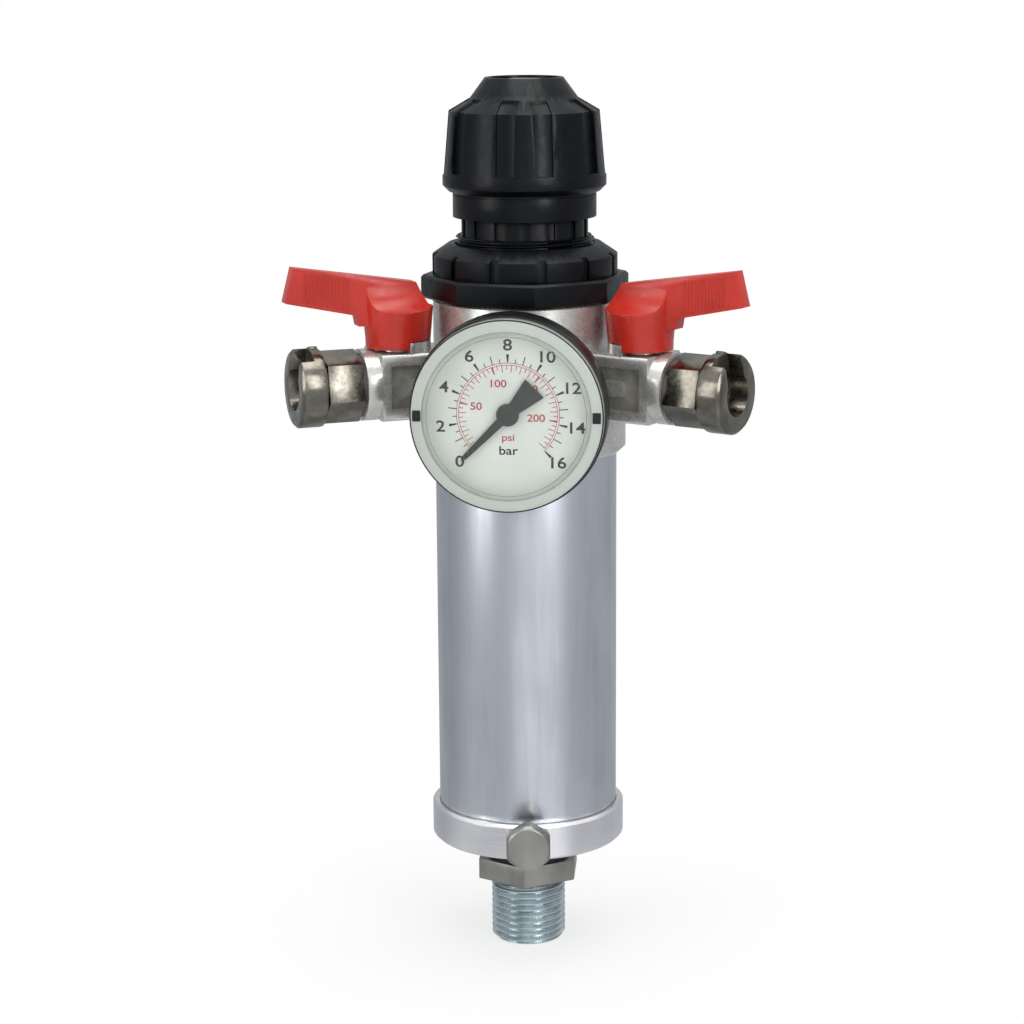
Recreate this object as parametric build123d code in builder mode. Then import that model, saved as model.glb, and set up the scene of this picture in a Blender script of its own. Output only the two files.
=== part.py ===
from build123d import *
from math import atan2, cos, degrees, hypot, radians, sin, sqrt
import os

os.makedirs("parts", exist_ok=True)

# Filter regulator with a bottom inlet, a steel separator tube, a gauge and two ball taps.
# Millimetres, +Z up, origin in the end face of the inlet thread, gauge facing -Y.

# Clearances
running_gap = 0.05
sliding_gap = 0.3
assembly_gap = 0.1

# Inlet nipple and tie tube
inlet_thread_radius = 20.955 / 2
inlet_thread_length = 19.0
inlet_thread_chamfer = 1.4
inlet_hex_flats = 27.0
inlet_hex_height = 6.0
inlet_hex_turn = 2.5
nipple_seal_height = 3.5
inlet_bore_radius = 6.0
tie_tube_radius = 6.5
tie_tube_wall = 2.0
nipple_neck_wall = 1.6
nipple_neck_height = 13.0
nipple_thread_depth = 11.0
inlet_bore_depth = 43.0
inlet_port_radius = 2.2
inlet_port_height = 35.0
outlet_bore_depth = 40.0
tie_port_radius = 2.0
tie_port_depth = 21.0
port_count = 4

# Separator tube and its end cap
tube_radius = 25.0
tube_wall = 1.5
tube_length = 107.7
cap_wall = 2.0
cap_height = 10.0
cap_floor = 2.5
cap_boss_radius = 13.0
cap_boss_height = 3.0
cap_rim_chamfer = 0.8
tube_seat_depth = 1.5
tube_seal_thickness = 0.8
sump_wall = 4.0

# Drain screw
drain_screw_radius = 2.0
drain_head_flats = 12.0
drain_head_height = 5.0
drain_head_chamfer = 0.6
drain_seal_thickness = 0.8
drain_seal_radius = 4.6
drain_angle = 6.5

# Filter group on the tie tube
element_radius = 17.0
element_bore_radius = 8.0
element_length = 36.0
retainer_overhang = 1.0
retainer_thickness = 4.0
deflector_radius = 20.0
deflector_sleeve_wall = 2.0
deflector_sleeve_length = 14.0
deflector_skirt_drop = 16.0
deflector_wall = 1.5

# Die-cast body
body_radius = 25.2
body_height = 42.8
collar_radius = 27.5
collar_height = 11.3
collar_chamfer = 2.0
socket_depth = 6.0
web_thickness = 4.0
boss_radius = 10.0
boss_drop = 8.7
boss_rise = 17.3
chamber_radius = 20.5
ledge_depth = 9.5
bonnet_thread_radius = 22.4
body_rim_chamfer = 0.6

# Side arms and taps
arm_angle = 64.0
arm_axis_drop = 21.6
arm_width = 18.0
arm_end_reach = 43.5
arm_edge_radius = 1.0
arm_collar_radius = 9.7
arm_collar_length = 4.0
arm_bore_radius = 4.0
pocket_frame = 2.4
pocket_depth = 1.3
pocket_start_reach = 27.5
pocket_height = 11.6
pad_length = 6.6
pad_height = 4.2
pad_rise = 1.0
tap_reach = 36.4
ball_radius = 5.5
ball_bore_radius = 2.8
ball_flat_height = 4.5
tap_chamber_radius = 6.6
seat_width = 3.8
seat_back = 1.5
stem_radius = 2.4
stem_collar_radius = 3.0
stem_collar_height = 0.9
stem_tang_width = 2.0
stem_square = 3.6
stem_square_height = 5.0
stem_boss_radius = 5.0
stem_boss_height = 3.7
gland_radius = 3.5
gland_depth = 3.0
stem_seal_wire = 0.5

# Lever
hub_radius = 9.6
hub_foot_radius = 8.8
hub_base_rise = 3.1
hub_height = 8.6
skirt_drop = 2.1
skirt_inner_radius = 6.4
skirt_half_angle = 95.0
stop_lug_half_angle = 39.5
stop_lug_middle = 225.0
lever_length = 31.4
lever_thickness = 5.0
lever_root_reach = 12.0
lever_inner_reach = 7.6
lever_scoop_drop = 0.6
lever_crown_reach = 4.6
lever_crown_rise = 6.6
lever_tip_rise = 11.8
lever_tip_drop = 2.5
lever_root_drop = 1.7
lever_step_reach = 11.5
lever_step_drop = 4.6
lever_tip_slant = 2.4

# Hose coupling
coupling_seal_thickness = 0.8
coupling_hex_flats = 17.0
coupling_hex_length = 10.4
coupling_hex_turn = 17.0
coupling_flange_radius = 10.6
coupling_flange_length = 7.0
coupling_flange_chamfer = 0.7
coupling_bore_radius = 3.6
coupling_cup_radius = 5.8
coupling_cup_depth = 5.2
coupling_notch_width = 9.0
coupling_notch_turn = 14.0

# Bonnet, panel nut and knob
flange_flats = 52.5
flange_height = 6.5
flange_turn = 11.5
flange_chamfer = 0.7
bonnet_skirt_length = 6.5
bonnet_skirt_bore_radius = 18.0
bonnet_skirt_bore_depth = 8.0
collar_thread_radius = 18.9
collar_thread_height = 10.4
neck_radius = 17.2
neck_spline_height = 8.3
neck_top_radius = 16.3
neck_top_height = 16.3
neck_web_thickness = 4.0
spline_count = 15
spline_groove_width = 2.4
spline_groove_depth = 0.8
spline_turn = 6.5
spring_bore_radius = 13.6
key_groove_radius = 14.8
key_width = 4.4
panel_nut_radius = 25.2
panel_nut_side_height = 5.3
panel_nut_cone_height = 3.0
panel_nut_crown_radius = 20.8
panel_nut_slots = 12
panel_nut_slot_width = 2.2
panel_nut_slot_depth = 1.3
panel_nut_turn = 17.0
knob_lift = 3.0
knob_skirt_gap = 5.1
knob_skirt_radius = 19.5
knob_skirt_height = 6.0
knob_groove_radius = 18.9
knob_groove_height = 0.9
knob_flange_radius = 22.2
knob_flange_height = 4.2
knob_flange_chamfer = 1.6
knob_rib_foot_radius = 21.9
knob_rib_top_radius = 20.4
knob_grip_height = 17.2
knob_rib_shoulder_height = 3.4
knob_core_foot_radius = 20.3
knob_core_top_radius = 19.1
knob_cone_foot_radius = 14.6
knob_cone_height = 5.4
knob_mouth_radius = 10.6
knob_rim_width = 1.0
knob_recess_depth = 5.6
knob_cavity_height = 22.0
knob_hub_radius = 8.2
knob_window_pairs = 5
knob_window_spread = 28.0
knob_window_width = 5.0
knob_turn = 6.5

# Adjusting gear
spindle_radius = 5.0
spindle_thread_length = 23.0
spindle_collar_radius = 9.0
spindle_collar_height = 2.5
thrust_washer_thickness = 0.8
thrust_washer_radius = 10.0
spindle_hex_flats = 9.0
knob_screw_radius = 2.4
knob_screw_depth = 8.0
knob_screw_head_radius = 5.5
knob_screw_head_height = 1.8
spring_nut_height = 7.0
spring_nut_rest_gap = 5.0
spring_wire_radius = 1.5
spring_mean_radius = 10.4
spring_turns = 5

# Diaphragm and valve
diaphragm_thickness = 1.5
diaphragm_rise = 2.0
slip_ring_thickness = 1.5
plate_radius = 16.0
plate_thickness = 2.5
plate_spigot_radius = 8.5
plate_spigot_height = 2.5
seat_flange_radius = 9.0
seat_flange_height = 2.0
seat_depth = 6.0
seat_orifice_radius = 3.2
poppet_head_radius = 6.0
poppet_head_height = 2.5
poppet_stem_radius = 1.6
poppet_spring_wire_radius = 0.45
poppet_spring_turns = 4

# Gauge
gauge_height = 159.1
gauge_boss_radius = 8.0
gauge_boss_rise = 2.3
gauge_thread_radius = 4.8
gauge_thread_length = 6.0
gauge_seal_thickness = 0.5
gauge_stem_flats = 12.0
gauge_back_gap = 4.0
gauge_case_radius = 25.9
gauge_case_depth = 10.2
gauge_case_wall = 1.3
lens_radius = 25.4
lens_wall = 1.0
lens_rim_depth = 3.4
lens_dome_rise = 1.0
dial_radius = 24.2
dial_thickness = 0.6
dial_setback = 0.7
socket_width = 10.0
socket_drop = 20.0
socket_thickness = 2.2
bourdon_radius = 17.5
bourdon_width = 1.4
bourdon_depth = 4.0
bourdon_arc = 250.0
bourdon_foot_angle = 270.0
plate_gauge = 0.8
plate_gap = 3.2
plate_length = 20.0
plate_width = 11.0
pillar_radius = 1.0
arbor_radius = 0.6
pinion_teeth = 8
sector_full_teeth = 48
sector_used_teeth = 8
gear_module = 0.4
tooth_share = 0.34
tooth_height_share = 0.9
tooth_depth_share = 1.25
tooth_foot_spread = 3.0
gear_thickness = 1.0
sector_tail = 3.0
link_thickness = 0.7
link_reach = 13.0
link_rise = 1.5
link_end_radius = 1.0
pointer_length = 17.6
pointer_tail = 10.0
pointer_width = 1.3
pointer_tail_width = 3.4
pointer_hub_radius = 2.6
pointer_thickness = 0.6
pointer_rest_angle = 225.0

# Heights worked out from the values above
hex_base = inlet_thread_length
hex_top = hex_base + inlet_hex_height
cap_boss_base = hex_top + nipple_seal_height
cap_base = cap_boss_base + cap_boss_height
cap_top = cap_base + cap_height
cap_seat = cap_top - tube_seat_depth - tube_seal_thickness
tube_base = cap_seat + tube_seal_thickness
tube_top = tube_base + tube_length
web_base = tube_top + tube_seal_thickness
body_base = web_base - socket_depth - tube_seal_thickness
web_top = web_base + web_thickness
body_top = body_base + body_height
body_ledge = body_top - ledge_depth
boss_top = web_base + boss_rise
boss_base = web_base - boss_drop
gauge_boss_reach = body_radius + gauge_boss_rise
gauge_back_reach = gauge_boss_reach + gauge_back_gap
arm_height = body_top - arm_axis_drop
arm_top = arm_height + arm_width / 2
tie_base = hex_top + nipple_neck_height - nipple_thread_depth
tie_top = web_base + tube_seal_thickness
flange_top = body_top + flange_height
nut_top = flange_top + panel_nut_side_height + panel_nut_cone_height
thread_top = flange_top + collar_thread_height
spline_top = thread_top + neck_spline_height
neck_top = spline_top + neck_top_height
web_underside = neck_top - neck_web_thickness
knob_base = thread_top + knob_skirt_gap
knob_flange_base = knob_base + knob_skirt_height + knob_groove_height
knob_grip_base = knob_flange_base + knob_flange_height
knob_grip_top = knob_grip_base + knob_grip_height
knob_shoulder_top = knob_grip_top + knob_rib_shoulder_height
knob_top = knob_shoulder_top + knob_cone_height
knob_floor = knob_top - knob_recess_depth
spindle_top = knob_floor + knob_lift + sliding_gap
spindle_collar_base = web_underside - thrust_washer_thickness - spindle_collar_height
spring_nut_top = spindle_collar_base - spring_nut_rest_gap
spring_nut_base = spring_nut_top - spring_nut_height
diaphragm_top = body_ledge + diaphragm_thickness + diaphragm_rise
plate_top = diaphragm_top + plate_thickness
valve_face = boss_top - seat_depth


def save(builder, name):
    """Label a finished piece and write its file."""
    builder.part.label = name
    export_step(builder.part, f"parts/{name}.step")


def turned(points):
    """Revolve a closed outline of (radius, height) points about the vertical axis."""
    with BuildSketch(Plane.XZ) as outline:
        with BuildLine():
            Polyline(*points, close=True)
        make_face()
    revolve(outline.sketch, axis=Axis.Z)


def ring(inner, outer, low, high):
    """A flat ring about the vertical axis."""
    with BuildSketch(Plane.XY.offset(low)) as section:
        Circle(outer)
        if inner > 0:
            Circle(inner, mode=Mode.SUBTRACT)
    extrude(section.sketch, amount=high - low)


def upright(angle):
    """The upright plane through the axis whose normal is turned from -Y towards +X, with x level and y up."""
    return Plane(origin=(0, 0, 0), x_dir=(cos(radians(angle)), sin(radians(angle)), 0),
                 z_dir=(sin(radians(angle)), -cos(radians(angle)), 0))


def bore(radius, low, high):
    """Cut a vertical round hole on the axis."""
    with BuildSketch(Plane.XY.offset(low)) as section:
        Circle(radius)
    extrude(section.sketch, amount=high - low, mode=Mode.SUBTRACT)


# Inlet nipple: male thread, hexagon and a neck that screws onto the tie tube
neck_outer = tie_tube_radius + assembly_gap + nipple_neck_wall
neck_bore = tie_tube_radius + assembly_gap
neck_end = hex_top + nipple_neck_height
with BuildPart() as inlet_nipple:
    turned([(0, 0), (inlet_thread_radius - inlet_thread_chamfer, 0), (inlet_thread_radius, inlet_thread_chamfer),
            (inlet_thread_radius, hex_base), (neck_outer, hex_base), (neck_outer, neck_end), (0, neck_end)])
    with BuildSketch(Plane.XY.offset(hex_base)):
        RegularPolygon(inlet_hex_flats / 2, 6, major_radius=False, rotation=inlet_hex_turn - 90)
    extrude(amount=inlet_hex_height)
    bore(inlet_bore_radius, 0, tie_base)
    bore(neck_bore, tie_base, neck_end)
save(inlet_nipple, "inlet_nipple")

with BuildPart() as nipple_seal:
    ring(neck_outer, cap_boss_radius - sliding_gap, hex_top, cap_boss_base)
save(nipple_seal, "nipple_seal")

# Tie tube: brings the air in low down and takes the filtered air up to the body
tie_bore = tie_tube_radius - tie_tube_wall
with BuildPart() as tie_tube:
    with BuildSketch(Plane.XY.offset(tie_base)):
        Circle(tie_tube_radius)
    extrude(amount=tie_top - tie_base)
    bore(tie_bore, tie_base, tie_base + inlet_bore_depth)
    bore(tie_bore, tie_top - outlet_bore_depth, tie_top)
    port_levels = [(tie_base + inlet_port_height, inlet_port_radius), (tie_top - tie_port_depth, tie_port_radius)]
    for level, port_radius in port_levels:
        for port in range(port_count // 2):
            with BuildSketch(upright(port * 360 / port_count)):
                with Locations((0, level)):
                    Circle(port_radius)
            extrude(amount=tie_tube_radius * 2, both=True, mode=Mode.SUBTRACT)
save(tie_tube, "tie_tube")

# Bottom cap: turned cup for the tube, with a sump and a boss that meets the nipple's seal
cap_radius = tube_radius + cap_wall
seat_radius = tube_radius + assembly_gap
sump_radius = tube_radius - sump_wall
sump_floor = cap_base + cap_floor
drain_height = (sump_floor + cap_seat) / 2
with BuildPart() as bottom_cap:
    turned([(neck_outer + assembly_gap, cap_boss_base), (cap_boss_radius, cap_boss_base),
            (cap_boss_radius, cap_base), (cap_radius - cap_rim_chamfer, cap_base),
            (cap_radius, cap_base + cap_rim_chamfer), (cap_radius, cap_top - cap_rim_chamfer),
            (cap_radius - cap_rim_chamfer, cap_top), (seat_radius, cap_top), (seat_radius, cap_seat),
            (sump_radius, cap_seat), (sump_radius, sump_floor), (neck_outer + assembly_gap, sump_floor)])
    drain_side = upright(drain_angle)
    with BuildSketch(drain_side):
        with Locations((0, drain_height)):
            Circle(drain_screw_radius + running_gap)
    extrude(amount=cap_radius + cap_wall, mode=Mode.SUBTRACT)
    with BuildSketch(drain_side.offset(cap_radius - cap_rim_chamfer / 2)):
        with Locations((0, drain_height)):
            Circle(drain_seal_radius + sliding_gap)
    extrude(amount=cap_wall, mode=Mode.SUBTRACT)
save(bottom_cap, "bottom_cap")

# Drain screw: hexagon head, shank through the cap's wall, flat seal under the head
drain_face = drain_side.offset(cap_radius - cap_rim_chamfer / 2)
with BuildPart() as drain_seal:
    with BuildSketch(drain_face):
        with Locations((0, drain_height)):
            Circle(drain_seal_radius)
            Circle(drain_screw_radius + running_gap, mode=Mode.SUBTRACT)
    extrude(amount=drain_seal_thickness)
save(drain_seal, "drain_seal")

drain_seat = drain_face.offset(drain_seal_thickness)
with BuildPart() as drain_screw:
    with BuildSketch(drain_seat):
        with Locations((0, drain_height)):
            RegularPolygon(drain_head_flats / 2, 6, major_radius=False, rotation=30)
    extrude(amount=drain_head_height)
    chamfer(drain_screw.faces().sort_by(Axis(drain_seat.origin, drain_seat.z_dir))[-1].edges(), drain_head_chamfer)
    with BuildSketch(drain_seat):
        with Locations((0, drain_height)):
            Circle(drain_screw_radius)
    extrude(amount=sump_radius - cap_radius - drain_seal_thickness)
save(drain_screw, "drain_screw")

# Separator tube and its two flat seals
with BuildPart() as separator_tube:
    ring(tube_radius - tube_wall, tube_radius, tube_base, tube_top)
save(separator_tube, "separator_tube")

for seal_name, seal_base in (("bottom_tube_seal", cap_seat), ("top_tube_seal", tube_top)):
    with BuildPart() as tube_seal:
        ring(tube_radius - tube_wall - assembly_gap, tube_radius, seal_base, seal_base + tube_seal_thickness)
    save(tube_seal, seal_name)

# Filter element, its retainer and the umbrella that turns the air outwards below it
element_base = boss_base - element_length
with BuildPart() as filter_element:
    ring(element_bore_radius, element_radius, element_base, boss_base)
save(filter_element, "filter_element")

retainer_radius = element_radius + retainer_overhang
tie_fit = tie_tube_radius + running_gap
with BuildPart() as filter_retainer:
    ring(tie_fit, retainer_radius, element_base - retainer_thickness, element_base)
    chamfer(filter_retainer.faces().sort_by(Axis.Z)[0].outer_wire().edges(), retainer_thickness / 2)
save(filter_retainer, "filter_retainer")

skirt_top = tie_base + inlet_port_height + deflector_skirt_drop
sleeve_radius = tie_fit + deflector_sleeve_wall
with BuildPart() as air_deflector:
    turned([(tie_fit, skirt_top + deflector_wall), (tie_fit, skirt_top - deflector_sleeve_length + deflector_wall),
            (sleeve_radius, skirt_top - deflector_sleeve_length + deflector_wall),
            (sleeve_radius, skirt_top - deflector_wall), (deflector_radius, skirt_top - deflector_skirt_drop),
            (deflector_radius + deflector_wall, skirt_top - deflector_skirt_drop),
            (sleeve_radius, skirt_top + deflector_wall)])
save(air_deflector, "air_deflector")


# Frames of the two arms: x out along the arm, z up, origin on the body's axis
def arm_frame(angle):
    return Plane(origin=(0, 0, arm_height), x_dir=(sin(radians(angle)), -cos(radians(angle)), 0), z_dir=(0, 0, 1))


def across_arm(frame, reach):
    """A plane square to the arm at a distance from the body's axis, with y up."""
    return Plane(origin=frame.origin + frame.x_dir * reach, x_dir=frame.y_dir, z_dir=frame.x_dir)


def along_arm(frame, reach=0.0, rise=0.0):
    """The upright plane through the arm's axis, with x outwards and y up."""
    start = frame.origin + frame.x_dir * reach + frame.z_dir * rise
    return Plane(origin=start, x_dir=frame.x_dir, z_dir=frame.y_dir * -1)


def tap_level(frame, rise):
    """A level plane centred on the tap's stem at a height above the arm's axis."""
    return Plane(origin=frame.origin + frame.x_dir * tap_reach + frame.z_dir * rise, x_dir=frame.x_dir,
                 z_dir=(0, 0, 1))


def sector(inner, outer, start, end):
    """A sketched ring sector between two angles, for the stop lug and the lever's skirt."""
    with BuildLine() as edge:
        CenterArc((0, 0), outer, start, end - start)
        CenterArc((0, 0), inner, start, end - start)
        for angle in (start, end):
            Line((inner * cos(radians(angle)), inner * sin(radians(angle))),
                 (outer * cos(radians(angle)), outer * sin(radians(angle))))
    make_face(edge.edges())


arms = {"left": arm_frame(-arm_angle), "right": arm_frame(arm_angle)}
closing = {"left": -1, "right": 1}
tap_chamber_reach = tap_reach - ball_radius - seat_back
spigot_reach = tap_reach + ball_radius + seat_back
arm_mouth_reach = arm_end_reach + arm_collar_length
gauge_face = Plane(origin=(0, 0, gauge_height), x_dir=(1, 0, 0), z_dir=(0, -1, 0))


# Die-cast body: round body with a foot collar, two square arms, stem bosses and a gauge boss
foot_radius = body_radius + assembly_gap
stem_boss_rise = arm_width / 2 + stem_boss_height
with BuildPart() as valve_body:
    turned([(0, body_base), (foot_radius, body_base), (collar_radius, body_base + collar_chamfer),
            (collar_radius, body_base + collar_height), (body_radius, body_base + collar_height),
            (body_radius, body_top - body_rim_chamfer), (body_radius - body_rim_chamfer, body_top), (0, body_top)])
    for side, frame in arms.items():
        with BuildSketch(across_arm(frame, boss_radius)):
            RectangleRounded(arm_width, arm_width, arm_edge_radius)
        extrude(amount=arm_end_reach - boss_radius)
        with BuildSketch(across_arm(frame, arm_end_reach)):
            Circle(arm_collar_radius)
        extrude(amount=arm_collar_length)
        with BuildSketch(tap_level(frame, 0)):
            Circle(stem_boss_radius)
        extrude(amount=stem_boss_rise)
        lug_centre = closing[side] * stop_lug_middle
        with BuildSketch(tap_level(frame, 0)):
            sector(skirt_inner_radius, hub_foot_radius, lug_centre - stop_lug_half_angle,
                   lug_centre + stop_lug_half_angle)
        extrude(amount=arm_width / 2 + hub_base_rise - sliding_gap)
    with BuildSketch(gauge_face):
        Circle(gauge_boss_radius)
    extrude(amount=gauge_boss_reach)

    # Inside: tube socket, air chamber round the central boss, diaphragm ledge and bonnet thread
    bore(seat_radius, body_base, web_base)
    with BuildSketch(Plane.XY.offset(web_top)):
        Circle(chamber_radius)
    extrude(amount=body_ledge - web_top, mode=Mode.SUBTRACT)
    bore(bonnet_thread_radius + assembly_gap, body_ledge, body_top)
    ring(0, boss_radius, boss_base, boss_top)
    bore(tie_fit, boss_base, boss_top)

    # Gauge port
    with BuildSketch(gauge_face.offset(boss_radius + gauge_thread_length)):
        Circle(gauge_thread_radius + running_gap)
    extrude(amount=gauge_boss_reach, mode=Mode.SUBTRACT)

    # Arms: air bore, ball chamber, stem hole with its seal gland, recessed side panels with a pad
    for side, frame in arms.items():
        with BuildSketch(across_arm(frame, boss_radius + arm_bore_radius)):
            Circle(arm_bore_radius)
        extrude(amount=arm_end_reach - boss_radius, mode=Mode.SUBTRACT)
        with BuildSketch(across_arm(frame, tap_chamber_reach)):
            Circle(tap_chamber_radius)
        extrude(amount=arm_mouth_reach - tap_chamber_reach, mode=Mode.SUBTRACT)
        with BuildSketch(tap_level(frame, 0)):
            Circle(stem_radius + running_gap)
        extrude(amount=stem_boss_rise, mode=Mode.SUBTRACT)
        with BuildSketch(tap_level(frame, stem_boss_rise - gland_depth)):
            Circle(gland_radius)
        extrude(amount=gland_depth, mode=Mode.SUBTRACT)
        pocket_end_reach = arm_end_reach - pocket_frame
        pocket_length = pocket_end_reach - pocket_start_reach
        pocket_middle = along_arm(frame, (pocket_start_reach + pocket_end_reach) / 2)
        for face in (-1, 1):
            with BuildSketch(pocket_middle.offset(face * (arm_width / 2 - pocket_depth))):
                Rectangle(pocket_length, pocket_height)
            extrude(amount=face * pocket_depth, mode=Mode.SUBTRACT)
            with BuildSketch(pocket_middle.offset(face * (arm_width / 2 - pocket_depth))):
                with Locations(((pad_length - pocket_length) / 4, 0)):
                    RectangleRounded(pad_length, pad_height, pad_rise / 2)
            extrude(amount=face * pad_rise)
save(valve_body, "valve_body")


# The two taps: ball between two seats, stem with its seal, lever and hose coupling
chamber_fit = tap_chamber_radius - running_gap


def make_ball(name, frame):
    centre = frame.origin + frame.x_dir * tap_reach
    with BuildPart() as ball:
        with Locations(centre):
            Sphere(ball_radius)
        with BuildSketch(across_arm(frame, tap_reach)):
            Circle(ball_bore_radius)
        extrude(amount=ball_radius, both=True, mode=Mode.SUBTRACT)
        with BuildSketch(tap_level(frame, ball_flat_height)):
            Circle(ball_radius)
        extrude(amount=ball_radius, mode=Mode.SUBTRACT)
        with BuildSketch(tap_level(frame, ball_bore_radius + sliding_gap)):
            Rectangle(stem_tang_width + assembly_gap, ball_radius * 2)
        extrude(amount=ball_radius, mode=Mode.SUBTRACT)
    save(ball, name)


def make_seat(name, frame, reach):
    """Ring whose inner face is a zone of the ball; the same outline serves both sides of the ball."""
    outward = 1 if reach > tap_reach else -1
    curve = ball_radius + running_gap
    back_offset = ball_radius + seat_back
    front_offset = back_offset - seat_width
    bore_offset = sqrt(curve**2 - ball_bore_radius**2)
    middle_offset = (bore_offset + front_offset) / 2
    front_radius = sqrt(curve**2 - front_offset**2)
    middle_radius = sqrt(curve**2 - middle_offset**2)
    with BuildPart() as seat:
        with BuildSketch(along_arm(frame, tap_reach)):
            with BuildLine():
                ThreePointArc((outward * front_offset, front_radius), (outward * middle_offset, middle_radius),
                              (outward * bore_offset, ball_bore_radius))
                Polyline((outward * bore_offset, ball_bore_radius), (outward * back_offset, ball_bore_radius),
                         (outward * back_offset, chamber_fit), (outward * front_offset, chamber_fit),
                         (outward * front_offset, front_radius))
            make_face()
        revolve(axis=Axis(frame.origin, frame.x_dir))
    save(seat, name)


def make_stem(name, frame):
    shoulder = ball_flat_height + stem_collar_height
    square_base = stem_boss_rise + sliding_gap
    tang_foot = ball_bore_radius + sliding_gap + assembly_gap
    with BuildPart() as stem:
        with BuildSketch(tap_level(frame, tang_foot)):
            Rectangle(stem_tang_width, stem_radius * 2)
        extrude(amount=ball_flat_height - tang_foot)
        with BuildSketch(tap_level(frame, ball_flat_height)):
            Circle(stem_collar_radius)
        extrude(amount=stem_collar_height)
        with BuildSketch(tap_level(frame, shoulder)):
            Circle(stem_radius)
        extrude(amount=square_base - shoulder)
        with BuildSketch(tap_level(frame, square_base)):
            Rectangle(stem_square, stem_square)
        extrude(amount=stem_square_height)
    save(stem, name)


def make_stem_seal(name, frame):
    seal_level = stem_boss_rise - gland_depth + stem_seal_wire + running_gap
    with BuildPart(tap_level(frame, seal_level)) as stem_seal:
        Torus((stem_radius + gland_radius) / 2, stem_seal_wire)
    save(stem_seal, name)


def make_lever(name, frame):
    """Moulded lever: round hub scooped out on both sides of a blade that rises to its tip."""
    base = arm_width / 2 + hub_base_rise
    hub_top = base + hub_height
    crown = hub_top + lever_crown_rise
    side_view = along_arm(frame, tap_reach)
    end_view = across_arm(frame, tap_reach)
    with BuildPart() as lever:
        with BuildSketch(tap_level(frame, base)):
            Circle(hub_foot_radius)
        with BuildSketch(tap_level(frame, hub_top)):
            Circle(hub_radius)
        loft()
        with BuildSketch(tap_level(frame, hub_top)):
            Circle(hub_radius)
        extrude(amount=lever_crown_rise)

        # The hub's top falls in a hollow curve from the blade to the rim
        for face in (-1, 1):
            with BuildSketch(end_view):
                with BuildLine():
                    scoop = TangentArc((face * lever_thickness / 2, crown),
                                       (face * (hub_radius + 1), hub_top - lever_scoop_drop), tangent=(0, -1))
                    Polyline(scoop @ 1, (face * (hub_radius + 1), crown + 1),
                             (face * lever_thickness / 2, crown + 1), scoop @ 0)
                make_face()
            extrude(amount=hub_radius + 1, both=True, mode=Mode.SUBTRACT)
        with BuildSketch(side_view):
            Polygon((-hub_radius - 1, hub_top), (-lever_inner_reach, hub_top), (-lever_crown_reach, crown),
                    (-lever_crown_reach, crown + 1), (-hub_radius - 1, crown + 1), align=None)
        extrude(amount=hub_radius + 1, both=True, mode=Mode.SUBTRACT)

        # Blade
        with BuildSketch(side_view):
            with BuildLine():
                Polyline((-lever_crown_reach, crown), (lever_length - lever_tip_slant, hub_top + lever_tip_rise),
                         (lever_length, hub_top + lever_tip_drop), (lever_root_reach, hub_top - lever_root_drop),
                         (lever_step_reach, hub_top - lever_step_drop),
                         (-lever_crown_reach, hub_top - lever_step_drop), close=True)
            make_face()
        extrude(amount=lever_thickness / 2, both=True)

        # Skirt that runs against the body's stop lug, and the socket for the stem
        with BuildSketch(tap_level(frame, base - skirt_drop)):
            sector(skirt_inner_radius, hub_foot_radius, -skirt_half_angle, skirt_half_angle)
        extrude(amount=skirt_drop)
        with BuildSketch(tap_level(frame, base - skirt_drop)):
            Circle(stem_boss_radius + sliding_gap)
        extrude(amount=stem_boss_rise + sliding_gap - base + skirt_drop, mode=Mode.SUBTRACT)
        with BuildSketch(tap_level(frame, base)):
            Rectangle(stem_square + assembly_gap, stem_square + assembly_gap)
        extrude(amount=stem_boss_rise + 2 * sliding_gap + stem_square_height - base, mode=Mode.SUBTRACT)
    save(lever, name)


def make_coupling(name, frame, notch_side):
    """Hose coupling: threaded spigot, hexagon, and an open cup with a notch in its rim."""
    hex_reach = arm_mouth_reach + coupling_seal_thickness
    flange_reach = hex_reach + coupling_hex_length
    end_reach = flange_reach + coupling_flange_length
    step = coupling_flange_chamfer
    with BuildPart() as coupling:
        with BuildSketch(along_arm(frame)):
            with BuildLine():
                Polyline((spigot_reach, 0), (spigot_reach, chamber_fit), (hex_reach, chamber_fit),
                         (hex_reach, coupling_hex_flats / 2 - step), (hex_reach + step, coupling_hex_flats / 2),
                         (flange_reach - step, coupling_hex_flats / 2),
                         (flange_reach, coupling_hex_flats / 2 - step), (flange_reach, coupling_flange_radius - step),
                         (flange_reach + step, coupling_flange_radius), (end_reach - step, coupling_flange_radius),
                         (end_reach, coupling_flange_radius - step), (end_reach, 0), close=True)
            make_face()
        revolve(axis=Axis(frame.origin, frame.x_dir))
        with BuildSketch(across_arm(frame, hex_reach)):
            RegularPolygon(coupling_hex_flats / 2, 6, major_radius=False, rotation=notch_side * coupling_hex_turn)
        extrude(amount=coupling_hex_length - step)
        with BuildSketch(across_arm(frame, spigot_reach)):
            Circle(coupling_bore_radius)
        extrude(amount=end_reach - spigot_reach, mode=Mode.SUBTRACT)
        with BuildSketch(across_arm(frame, end_reach - coupling_cup_depth)):
            Circle(coupling_cup_radius)
        extrude(amount=coupling_cup_depth, mode=Mode.SUBTRACT)
        with BuildSketch(across_arm(frame, end_reach - coupling_cup_depth)):
            with Locations(Rotation(0, 0, notch_side * coupling_notch_turn)):
                with Locations((0, coupling_flange_radius / 2 + coupling_cup_radius / 2)):
                    Rectangle(coupling_notch_width, coupling_flange_radius)
        extrude(amount=coupling_cup_depth, mode=Mode.SUBTRACT)
    save(coupling, name)


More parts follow.
